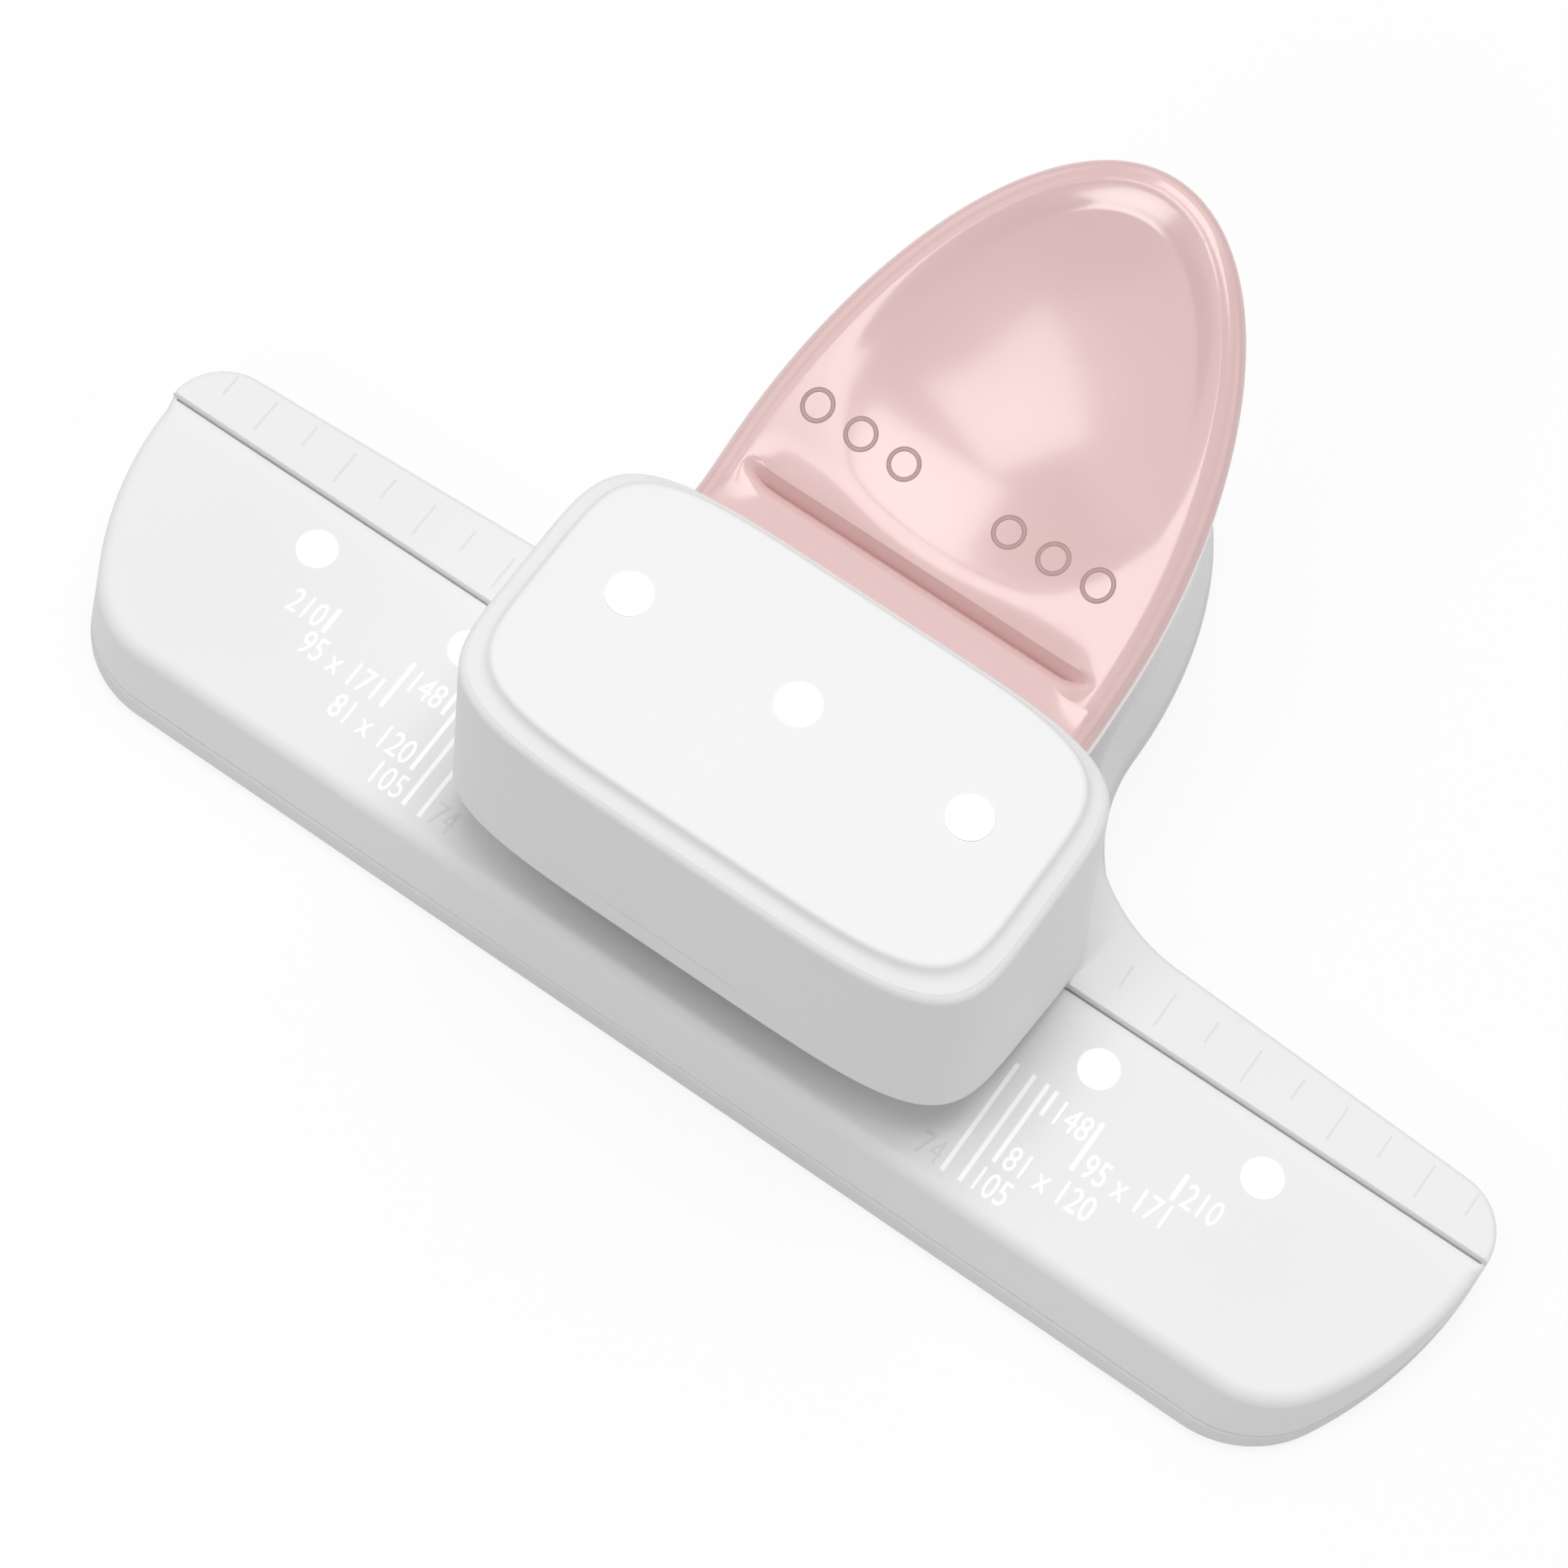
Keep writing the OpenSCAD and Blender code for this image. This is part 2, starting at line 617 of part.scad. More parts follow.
module head_lid() color(shell_white) on_datum() {
    lid_l = head_l / 2 - shoulder_w;
    lid_w = head_w / 2 - shoulder_w;
    plug_l = lid_l - lid_seat_w - set_fit;
    plug_w = lid_w - lid_seat_w - set_fit;
    translate([0, 0, lid_z]) linear_extrude(shoulder_z + lid_rise - lid_z)
        polygon(head_outline(lid_l, lid_w, head_mid));
    translate([0, 0, lid_z - lid_plug_h]) linear_extrude(lid_plug_h) difference() {
        polygon(head_outline(plug_l, plug_w, head_mid));
        polygon(head_outline(plug_l - lid_plug_t, plug_w - lid_plug_t, head_mid));
    }
}

module head_screws() color(bright_steel) on_datum()
    mirrored() translate([head_screw.x, head_screw.y, seat_z]) screw(head_screw_l);

module pivot_pin() color(bright_steel) on_datum() difference() {
    rod_x(-pivot_half, pivot_half, -pivot_reach, pivot_z, pivot_d / 2);
    mirrored() difference() {
        rod_x(pivot_clip_x, pivot_clip_x + clip_t, -pivot_reach, pivot_z, pivot_d);
        rod_x(pivot_clip_x - past, pivot_clip_x + clip_t + past, -pivot_reach, pivot_z,
              pivot_d / 2 - clip_groove);
    }
}

module pivot_clips() color(spring_steel) on_datum()
    mirrored() translate([pivot_clip_x + set_fit / 2, -pivot_reach, pivot_z]) rotate([0, 90, 0])
        rotate(90) clip(pivot_d / 2, pivot_clip_rim);

// Steel channel: two cheeks with the pivot and bar holes, a top plate and a tongue under the lever's skin
module lever_arm() color(bright_steel) on_datum() {
    tongue_half = lever_w / 2 - lever_wall - tongue_side;
    plate_front = ear_r - pivot_reach;
    tongue = [for (i = [0:tongue_steps]) slope_at(i / slope_steps, lever_skin)];
    tongue_under = [for (i = [tongue_steps:-1:0]) slope_at(i / slope_steps, lever_skin + arm_t)];
    difference() {
        union() {
            block([-cheek_out, plate_front, arm_lo_z], [cheek_out, cheek_back, arm_hi_z]);
            across(-tongue_half, tongue_half)
                polygon(concat([[0, arm_lo_z], [0, arm_hi_z]], tongue, tongue_under));
            mirrored() across(cheek_in, cheek_out) {
                translate([-pivot_reach, pivot_z]) circle(r = ear_r);
                polygon([
                    [-pivot_reach, pivot_z - ear_r], [0, bar_z - bar_d], [cheek_back, arm_lo_z],
                    [cheek_back, arm_hi_z], [plate_front, arm_hi_z], [-pivot_reach - ear_r, pivot_z]
                ]);
            }
        }
        rod_x(-cheek_out - past, cheek_out + past, -pivot_reach, pivot_z, pivot_d / 2 + run_fit);
        rod_x(-cheek_out - past, cheek_out + past, 0, bar_z, bar_d / 2 + run_fit);
        mirrored() post(lever_screw, arm_lo_z - past, arm_hi_z + past, screw_d / 2 + set_fit);
    }
}

// Egg-shaped plan of the lever
module lever_plan(inset) linear_extrude(2 * root_z) polygon(both_sides(concat(
    [[lever_w / 2 - inset, root_y]],
    [for (i = [0:grip_steps])
        let (y = lever_mid + (lever_tip - inset - lever_mid) * sin(90 * i / grip_steps))
        [lever_half(y, inset), y]]
)));

// Slab under the lever's top line, between two depths below it
module lever_slab(top_drop, low_drop) across(-lever_w, lever_w) polygon(concat(
    [[root_y, root_z - low_drop], [root_y, root_z - top_drop]],
    [for (i = [0:slope_steps]) slope_at(i / slope_steps, top_drop)],
    [for (i = [slope_steps:-1:0]) slope_at(i / slope_steps, low_drop)]
));

// Pink spoon: the egg-shaped outline cut from a sloping slab, hollow below, with a cross groove and a dish
module lever_cover() color(lever_pink) on_datum() {
    skirt_y = cheek_back + pass_gap;
    groove_z = slope_at(groove_off / (lever_tip - rise_y), 0).y;
    dish_at = slope_at(dish_share, 0);
    difference() {
        intersection() {
            lever_plan(0);
            lever_slab(0, lever_edge);
        }
        intersection() {
            union() {
                lever_plan(lever_wall);
                block([-lever_w, 0, 0], [lever_w, skirt_y, 2 * root_z]);
            }
            lever_slab(lever_skin, lever_edge + past);
            block([-lever_w, root_y - past, 0], [lever_w, 2 * lever_tip, 2 * root_z]);
        }
        block([-lever_w, root_y - past, 0], [lever_w, skirt_y, arm_hi_z]);
        rod_x(-lever_w, lever_w, rise_y + groove_off, groove_z + groove_r - groove_depth, groove_r);
        translate([0, dish_at.x, dish_at.y]) rotate([lever_rise, 0, 0])
            translate([0, 0, dish_r - dish_depth]) sphere(r = dish_r);
        mirrored() post(lever_screw, 0, arm_hi_z + lever_hole_h, screw_d / 2 + run_fit);
    }
}

module press_bar() color(bright_steel) on_datum() rod_x(-cheek_out, cheek_out, 0, bar_z, bar_d / 2);

module lever_screws() color(bright_steel) on_datum()
    mirrored() translate([lever_screw.x, lever_screw.y, arm_lo_z]) screw(lever_screw_l);

// Cutting pin: hollow-ground tip, clip groove and a flat head for the press bar
module punch_pin(x) color(bright_steel) on_datum() translate([x, 0, 0]) difference() {
    union() {
        post([0, 0], pin_tip_z, pin_neck_z + past, pin_r);
        post([0, 0], pin_neck_z, pin_top_z, pin_head_d / 2);
    }
    translate([0, -hole_d, pin_tip_z - hole_d]) rotate([-90, 0, 0])
        cylinder(h = 2 * hole_d, r = hole_d + grind_depth);
    difference() {
        post([0, 0], clip_z, clip_z + clip_t, hole_d);
        post([0, 0], clip_z - past, clip_z + clip_t + past, pin_r - clip_groove);
    }
}

module pin_clip(x) color(spring_steel) on_datum()
    translate([x, 0, clip_z + set_fit / 2]) clip(pin_r, clip_rim);

// Wire of a return spring, swept along a helix
module return_spring(x) color(spring_steel) on_datum() {
    ring_steps = 8;
    sides = 6;
    coil_r = (pin_r + pin_head_d / 2) / 2;
    wire_r = spring_wire / 2;
    rings = spring_turns * ring_steps;
    low = upper_guide_top + spring_seat_gap + wire_r;
    pitch = (spring_l - spring_wire) / spring_turns;
    points = [for (i = [0:rings], k = [0:sides - 1])
        let (a = 360 * i / ring_steps, b = 360 * k / sides, r = coil_r + wire_r * cos(b))
        [r * cos(a), r * sin(a), low + pitch * i / ring_steps + wire_r * sin(b)]];
    turns = [for (i = [0:rings - 1], k = [0:sides - 1])
        let (p = i * sides + k, q = i * sides + (k + 1) % sides)
        each [[p, p + sides, q], [q, p + sides, q + sides]]];
    ends = [[for (k = [0:sides - 1]) k], [for (k = [sides - 1:-1:0]) rings * sides + k]];
    echo(gap_between_turns = pitch - spring_wire);
    translate([x, 0, 0]) polyhedron(points, concat(turns, ends));
}

module punch_pin_left() punch_pin(pin_xs[0]);
module punch_pin_centre() punch_pin(pin_xs[1]);
module punch_pin_right() punch_pin(pin_xs[2]);
module pin_clip_left() pin_clip(pin_xs[0]);
module pin_clip_centre() pin_clip(pin_xs[1]);
module pin_clip_right() pin_clip(pin_xs[2]);
module return_spring_left() return_spring(pin_xs[0]);
module return_spring_centre() return_spring(pin_xs[1]);
module return_spring_right() return_spring(pin_xs[2]);

base_shell();
base_cover();
rubber_feet();
base_screws();
chip_tray();
tray_hinge_pins();
die_plate();
punch_frame();
frame_screws();
head_cover();
head_lid();
head_screws();
pivot_pin();
pivot_clips();
lever_arm();
lever_cover();
press_bar();
lever_screws();
punch_pin_left();
punch_pin_centre();
punch_pin_right();
pin_clip_left();
pin_clip_centre();
pin_clip_right();
return_spring_left();
return_spring_centre();
return_spring_right();
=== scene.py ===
"""Looks of a three hole punch for ring-planner pages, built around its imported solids."""

import math

import bmesh
import bpy
from mathutils import Matrix, Vector


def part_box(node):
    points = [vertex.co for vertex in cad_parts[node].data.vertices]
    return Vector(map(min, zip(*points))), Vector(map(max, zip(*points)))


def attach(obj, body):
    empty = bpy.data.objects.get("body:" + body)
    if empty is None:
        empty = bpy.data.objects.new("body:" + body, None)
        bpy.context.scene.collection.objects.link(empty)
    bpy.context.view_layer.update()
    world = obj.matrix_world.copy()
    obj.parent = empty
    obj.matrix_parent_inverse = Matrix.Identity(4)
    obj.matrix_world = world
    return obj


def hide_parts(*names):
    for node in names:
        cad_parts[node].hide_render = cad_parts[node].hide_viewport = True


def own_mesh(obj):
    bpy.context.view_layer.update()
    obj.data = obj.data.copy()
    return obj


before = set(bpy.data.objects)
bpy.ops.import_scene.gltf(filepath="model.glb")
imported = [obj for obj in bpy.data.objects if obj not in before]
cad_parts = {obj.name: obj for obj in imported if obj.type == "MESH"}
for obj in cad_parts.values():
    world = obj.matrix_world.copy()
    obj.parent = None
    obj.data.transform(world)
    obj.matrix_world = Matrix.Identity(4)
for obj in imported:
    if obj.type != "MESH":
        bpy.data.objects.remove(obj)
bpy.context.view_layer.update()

# Shapes are worked out in millimetres, with y counted from the line of the punch pins
MM = 0.001


def node_box(node):
    low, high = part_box(node)
    return low / MM, high / MM


def node_middle(node):
    low, high = node_box(node)
    return (low + high) / 2


PUNCH_Y = node_middle("punch_pin_centre").y

# Heights above the table
BOTTOM_Z = node_box("base_cover")[0].z
SEAM_Z = node_box("base_shell")[0].z
DECK_Z = node_box("base_shell")[1].z
SHOULDER_Z = node_box("head_cover")[1].z - 0.15
LID_TOP_Z = node_box("head_lid")[1].z

# Base
HALF_BASE = node_box("base_shell")[1].x
DECK_FRONT = 19.6
STRIP_BACK = 11.5
END_R = 36.0
END_R_GROW = 10.0
CORNER_R = 10.0
CORNER_R_GROW = 2.0
FLARE_FRONT = 3.0
FLARE_SIDE = 2.0
NECK_R = 20.0
HANDLE_HALF = 19.8
HANDLE_MID = 33.0
HANDLE_TIP = 66.5
WALL = 1.8
UNDER_DECK_Z = DECK_Z - 2.0
PLATE_Z = BOTTOM_Z + 1.6
DIE_Z = node_box("die_plate")[0].z
SEAT_Z = DIE_Z - 1.5
DECK_EDGE_R = 1.3
FLAT_RIM = 0.4
SEAM_EDGE_R = 0.3
SEAM_ROLL = (0.3, 0.6)
STRIP_SEAM_R = 0.2
FOOT_EDGE_R = 0.6

# Fence and ruler strip
FENCE_Y = 5.2
FENCE_LINE_W = 0.2
FENCE_LINE_T = 0.5
FENCE_LINE_HALF = HALF_BASE - 0.5
STRIP_TOP_Z = DECK_Z + 1.0
STRIP_EDGE_R = 0.6
STRIP_FLAT_RIM = 0.4
FENCE_EDGE_R = 0.15
FENCE_FLAT_RIM = 0.2
INNER_FENCE_T = 1.4
INNER_FENCE_H = 1.9

# Head
HEAD_HALF_L = 29.6
HEAD_HALF_W = 16.2
HEAD_MID = -2.2
HEAD_FLARE_L = 1.5
HEAD_FLARE_W = 0.3
HEAD_SQUARE = 5.0
HEAD_WALL = 1.8
SHOULDER_R = 1.2
LIP_TURN = math.radians(60)
LIP_INSET = SHOULDER_R * (1 - math.cos(LIP_TURN))
LIP_Z = SHOULDER_Z - SHOULDER_R * (1 - math.sin(LIP_TURN))
ROOF_Z = SHOULDER_Z - 2.45
LID_SEAT_Z = ROOF_Z + 1.1
LID_SEAT_W = 1.5
LID_MARGIN = 2.2
LID_HALF_L = HEAD_HALF_L - LID_MARGIN
LID_HALF_W = HEAD_HALF_W - LID_MARGIN
LID_PLAY = 0.1
LID_PLUG_INSET = 1.6
LID_PLUG_T = 1.2
LID_PLUG_H = 2.0
LID_BRIM = 0.02
LID_BRIM_REACH = 0.95
LID_SHARES = (0.98, 0.95, 0.9, 0.84, 0.77, 0.68, 0.55, 0.3, 0.05)
LID_EDGE_R = 0.6
LID_TURN = math.radians(66)
LID_CROWN = 0.25
LID_BACKSET = 0.5
LEDGE_LEAN = 0.6
LEDGE_CURVE = 6
LEDGE_STEPS = 12
LEDGE_Z = LIP_Z - 0.4
LEDGE_INSET = LIP_INSET + 0.05
MOUTH_FRONT = 9.5
MOUTH_BACK = 2.2
MOUTH_LIP_R = 0.5
MOUTH_LIP_STEP = 0.45
FILLET_R = 4.0
FILLET_LEAST_R = 0.3
FILLET_FULL_Y = HEAD_MID + HEAD_HALF_W - 2.0
FILLET_SINK = 0.12
FILLET_FOOT_STEP = 0.3
OUTER_ROWS = (24.0, 36.0)
INNER_ROWS = (30.0, 20.0)
CAVITY_ROOM = 0.4
SLOT_HALF = 23.0
SLOT_LOW = 26.0
SLOT_HIGH = 40.55
SLOT_R = 1.2
SLOT_YS = (8.2, 25.0)

# Lever
LEVER_HALF = 22.7
LEVER_ROOT = 3.0
LEVER_ROWS = (7.0, 10.0, 12.5, 15.0, 16.8)
LEVER_ACROSS = 44
UNDER_FLAT_Y = 9.8
UNDER_EDGE = ((0.5, 0.0), (0.15, 0.15), (0.0, 0.5))
LEVER_MID = 22.0
LEVER_TIP = 61.6
LEVER_FLAT_Z = 39.95
RISE_Y = 17.5
TIP_RISE = 18.74
SAG = 1.2
SKIN = 3.2
EDGE = 4.8
SKIRT = 2.0
SKIRT_LEAN = 0.2
RIM_R = 2.2
RIM_FLAT = 0.3
RIM_FOLLOW = 0.85
CREASE_Y = 20.2
CREASE_DROP = 1.3
CREASE_NEAR = 1.8
CREASE_STEP = 0.25
CREASE_ENDS = (16.5, 20.2)
BROW_Y = 20.9
BROW_DEPTH = 0.4
BROW_REACH = 3.2
BROW_STEP = 0.4
BOWL_Y = 38.0
BOWL_DEPTH = 1.6
BOWL_HALF = 17.0
BOWL_REACH = (16.0, 20.0)
BOWL_BLEND = 0.3
PAN_FROM = 2.5
PAN_WALL = 2.6
PAN_EASE = 0.15
PAN_DEPTH = 0.2
PAN_RANGE = (40.0, 54.0)

# A tool reaches this far past the faces that it cuts through
PAST = 1.0

# Points that lie nearer than this become one, and edges shorter than this go
MERGE = 0.002
SLIVER = 0.001

HOLE_PITCH = 19.0
PIN_XS = (-HOLE_PITCH, 0.0, HOLE_PITCH)
PIN_NAMES = ("left", "centre", "right")


# Mesh tools

def placed(point):
    """A point in millimetres from the punch line, in the part's own frame and in metres."""
    return Vector((point[0], point[1] + PUNCH_Y, point[2])) * MM


def shown(name, data):
    """New object in the scene with the given mesh, text, light or camera."""
    made = bpy.data.objects.new(name, data)
    bpy.context.scene.collection.objects.link(made)
    return made


def made_mesh(name, points, faces):
    mesh = bpy.data.meshes.new(name)
    mesh.from_pydata([placed(p) for p in points], [], faces)
    mesh.validate()
    work = bmesh.new()
    work.from_mesh(mesh)
    bmesh.ops.remove_doubles(work, verts=work.verts, dist=MERGE * MM)
    bmesh.ops.dissolve_degenerate(work, edges=work.edges, dist=SLIVER * MM)
    bmesh.ops.recalc_face_normals(work, faces=work.faces)
    work.to_mesh(mesh)
    work.free()
    return shown(name, mesh)


def skin_faces(rows, count, around=False):
    """Quads between neighbouring rings of count points; around also joins the last ring to the first."""
    faces = []
    for row in range(rows if around else rows - 1):
        low = row * count
        high = (row + 1) % rows * count
        for i in range(count):
            j = (i + 1) % count
            faces.append((low + i, low + j, high + j, high + i))
    return faces


def skinned(name, rings, around=False):
    """Closed solid through rings of equally many points, with a face on its first and last ring."""
    count = len(rings[0])
    faces = skin_faces(len(rings), count, around)
    if not around:
        faces.append(tuple(range(count)))
        faces.append(tuple((len(rings) - 1) * count + i for i in range(count)))
    return made_mesh(name, [p for ring in rings for p in ring], faces)


def bake(target):
    """Turns what the modifiers make into the piece's own plain mesh."""
    graph = bpy.context.evaluated_depsgraph_get()
    mesh = bpy.data.meshes.new_from_object(target.evaluated_get(graph), depsgraph=graph)
    target.modifiers.clear()
    plain = target.data
    target.data = mesh
    if plain.users == 0:
        bpy.data.meshes.remove(plain)
    mesh.name = target.name
    return target


def carve(target, tool, operation="DIFFERENCE"):
    """Cuts a tool out of a piece, or joins it on, and removes the tool."""
    step = target.modifiers.new("carve", "BOOLEAN")
    step.operation = operation
    step.solver = "EXACT"
    step.object = tool
    bake(target)
    bpy.data.objects.remove(tool)
    return target


def soften(target, angle=32.0):
    """Smooth shading with crisp edges past an angle, and flat faces kept flat."""
    target.data.shade_smooth()
    target.data.set_sharp_from_angle(angle=math.radians(angle))
    weights = target.modifiers.new("flat faces", "WEIGHTED_NORMAL")
    weights.keep_sharp = True
    weights.weight = 50
    return bake(target)


def block(low, high):
    xs, ys, zs = zip(low, high)
    ring = [(0, 0), (1, 0), (1, 1), (0, 1)]
    return skinned("block", [[(xs[a], ys[b], z) for a, b in ring] for z in zs])


def upright_block(plan, low, high):
    """Block over two corners of a plan, between two heights."""
    return block(plan[0] + (low,), plan[1] + (high,))


def round_ring(mid, radius, steps=40):
    turns = [2 * math.pi * i / steps for i in range(steps)]
    return [(mid[0] + radius * math.cos(t), mid[1] + radius * math.sin(t)) for t in turns]


def post(spot, low, high, radius):
    ring = round_ring(spot, radius)
    return skinned("post", [[(x, y, z) for x, y in ring] for z in (low, high)])


def rod_x(low, high, y, z, radius):
    ring = round_ring((y, z), radius)
    return skinned("rod", [[(x, a, b) for a, b in ring] for x in (low, high)])


def quarter(steps):
    """Angles of a rounded edge, from along the wall to along the top."""
    return [math.pi / 2 * i / steps for i in range(steps + 1)]


def smooth(low, high, value):
    t = min(1.0, max(0.0, (value - low) / (high - low)))
    return t * t * (3 - 2 * t)


def ramp(low, high, value, ease):
    """Straight rise from 0 to 1 that is rounded over a small share of its length at each end."""
    t = min(1.0, max(0.0, (value - low) / (high - low)))
    if t > 0.5:
        return 1 - ramp(0.0, 1.0, 1 - t, ease)
    return (t * t / (2 * ease) if t < ease else t - ease / 2) / (1 - ease)


def mirrored_spots(spots):
    return [(side * x, y) for x, y in spots for side in (1, -1)]


# Outlines

def arc(mid, radius, start, end, steps):
    turns = [math.radians(start + (end - start) * i / steps) for i in range(steps + 1)]
    return [(mid[0] + radius * math.cos(t), mid[1] + radius * math.sin(t)) for t in turns]


def front_half(lean, inset):
    """Right half of the deck's outline from the middle of its front to the fence."""
    half = HALF_BASE - inset
    end_r = END_R + lean * END_R_GROW - inset
    corner_r = CORNER_R + lean * CORNER_R_GROW - inset
    corner_y = corner_r - (DECK_FRONT + lean * FLARE_FRONT - inset)
    end_x = half - end_r
    corner_x = end_x + math.sqrt((end_r - corner_r) ** 2 - (corner_y - FENCE_Y) ** 2)
    meet = math.degrees(math.atan2(corner_y - FENCE_Y, corner_x - end_x))
    corner = arc((corner_x, corner_y), corner_r, -90, meet, 14)
    return corner + arc((end_x, FENCE_Y), end_r, meet, 0, 18)[1:]


def back_half(lean, inset):
    """Right half of the outline from the fence round the neck to the tip of the lower handle."""
    half = HALF_BASE - inset
    back_r = STRIP_BACK - FENCE_Y - inset
    grip = HANDLE_HALF + lean * FLARE_SIDE - inset
    reach = HANDLE_TIP + lean * FLARE_SIDE - inset - HANDLE_MID
    hollow_r = NECK_R - lean * FLARE_SIDE + inset
    corner = arc((half - back_r, FENCE_Y), back_r, 0, 90, 12)[1:]
    hollow = arc((HANDLE_HALF + NECK_R, HANDLE_MID), hollow_r, 270, 180, 26)
    tip = [(grip * math.cos(t), HANDLE_MID + reach * math.sin(t)) for t in quarter(36)[1:]]
    return corner + hollow + tip


def both_sides(half):
    return half + [(-x, y) for x, y in reversed(half[:-1])]


def lean_at(z):
    return (DECK_Z - z) / (DECK_Z - BOTTOM_Z)


def base_ring(front_z, front_inset, back_z, back_inset):
    """Ring of the base, with its own height and inset in front of the fence and behind it."""
    front = [(x, y, front_z) for x, y in front_half(lean_at(front_z), front_inset)[:-1]]
    edge = front_half(lean_at(back_z), back_inset)[-1]
    back = [(x, y, back_z) for x, y in [edge] + back_half(lean_at(back_z), back_inset)]
    right = front + back
    return right + [(-x, y, z) for x, y, z in reversed(right[:-1])]


def level_ring(z, inset):
    return base_ring(z, inset, z, inset)


def head_point(turn, half_l, half_w, mid=HEAD_MID):
    def share(value):
        return math.copysign(abs(value) ** (2 / HEAD_SQUARE), value)
    return half_l * share(math.cos(turn)), mid + half_w * share(math.sin(turn))


def head_turns():
    """Directions round the head, with a close pair where the wall meets the fence."""
    step, close, apart = 2.5, 0.25, 0.6
    share = (FENCE_Y - HEAD_MID) / (HEAD_HALF_W + HEAD_FLARE_W)
    fence = math.degrees(math.asin(share ** (HEAD_SQUARE / 2)))
    even = [step * (i + 0.5) for i in range(int(360 / step))]
    pairs = [fence - close, fence, 180 - fence, 180 + close - fence]
    kept = [a for a in even if min(abs(a - p) for p in pairs) > apart]
    return [math.radians(a) for a in sorted(kept + pairs)]


def head_ring(half_l, half_w, z, mid=HEAD_MID):
    return [head_point(t, half_l, half_w, mid) + (z,) for t in head_turns()]


def head_lean(z):
    return (SHOULDER_Z - z) / (SHOULDER_Z - DECK_Z)


# Base: a deck moulding on a bottom moulding, with the tray's opening, feet and screws below

SCREW_SPOTS = [(66.0, -5.0), (43.8, 6.0), (9.0, 48.0)]
FOOT_SPOTS = [(64.0, -14.0), (66.0, 5.0), (9.0, 58.0)]
FRAME_SCREW = (9.5, 10.3)
PAD_R = 3.1
PILOT_R = 1.05
PILOT_FLOOR = 0.5
SCREW_SINK = 1.1
SCREW_HEAD_R = 2.0
SCREW_SHANK_R = 1.0
SCREW_PLAY = 0.1
FOOT_R = 4.5
FOOT_SINK = 0.4
FOOT_PLAY = 0.1
FOOT_BEVEL = 0.3
SEAT_PLAN = ((-30.7, -7.3), (30.7, 14.1))
DIE_PLAN = ((-25.7, -5.6), (25.7, 12.4))
BOSS_R = 2.5
BOSS_H = 3.0
CHIP_HOLE_R = 2.6
TRAY_DOOR_YS = (-15.6, 7.7)
TRAY_LUG_X = 34.1
TRAY_LUG_T = 2.6
TRAY_HINGE = (5.5, 2.6)
KNUCKLE_R = 1.6
TRAY_PIN_R = 1.0
TRAY_PIN_PLAY = 0.03


def deck_moulding():
    rings = []
    for turn in quarter(5):
        cut = SEAM_ROLL[0] * (1 - math.sin(turn))
        rings.append(level_ring(SEAM_Z + SEAM_ROLL[1] * (1 - math.cos(turn)), cut))
    for turn in quarter(8):
        rise, cut = math.sin(turn) - 1, 1 - math.cos(turn)
        rings.append(base_ring(DECK_Z + DECK_EDGE_R * rise, DECK_EDGE_R * cut,
                               DECK_Z + STRIP_SEAM_R * rise, STRIP_SEAM_R * cut))
    rings.append(base_ring(DECK_Z, DECK_EDGE_R + FLAT_RIM, DECK_Z, STRIP_SEAM_R + FLAT_RIM))
    shell = skinned("deck_moulding", rings)
    carve(shell, skinned("cavity", [level_ring(SEAM_Z - PAST, WALL), level_ring(UNDER_DECK_Z, WALL)]))
    carve(shell, upright_block(SEAT_PLAN, SEAT_Z, UNDER_DECK_Z + PAST / 2), "UNION")
    for spot in mirrored_spots(SCREW_SPOTS):
        carve(shell, post(spot, SEAM_Z, UNDER_DECK_Z + PAST / 2, PAD_R), "UNION")
    for spot in mirrored_spots([FRAME_SCREW]):
        carve(shell, post(spot, SEAT_Z - BOSS_H, SEAT_Z + PAST / 2, BOSS_R), "UNION")
    carve(shell, upright_block(DIE_PLAN, DIE_Z, DECK_Z + PAST))
    for x in PIN_XS:
        carve(shell, post((x, 0), SEAT_Z - PAST, DIE_Z + PAST, CHIP_HOLE_R))
    for spot in mirrored_spots(SCREW_SPOTS):
        carve(shell, post(spot, SEAM_Z - PAST, UNDER_DECK_Z - PILOT_FLOOR, PILOT_R))
    for spot in mirrored_spots([FRAME_SCREW]):
        carve(shell, post(spot, SEAT_Z - BOSS_H + PILOT_FLOOR, DIE_Z + PAST, PILOT_R))
    line_plan = ((-FENCE_LINE_HALF, FENCE_Y - FENCE_LINE_W), (FENCE_LINE_HALF, FENCE_Y))
    carve(shell, upright_block(line_plan, DECK_Z - FENCE_LINE_T, DECK_Z + PAST))
    return soften(shell)


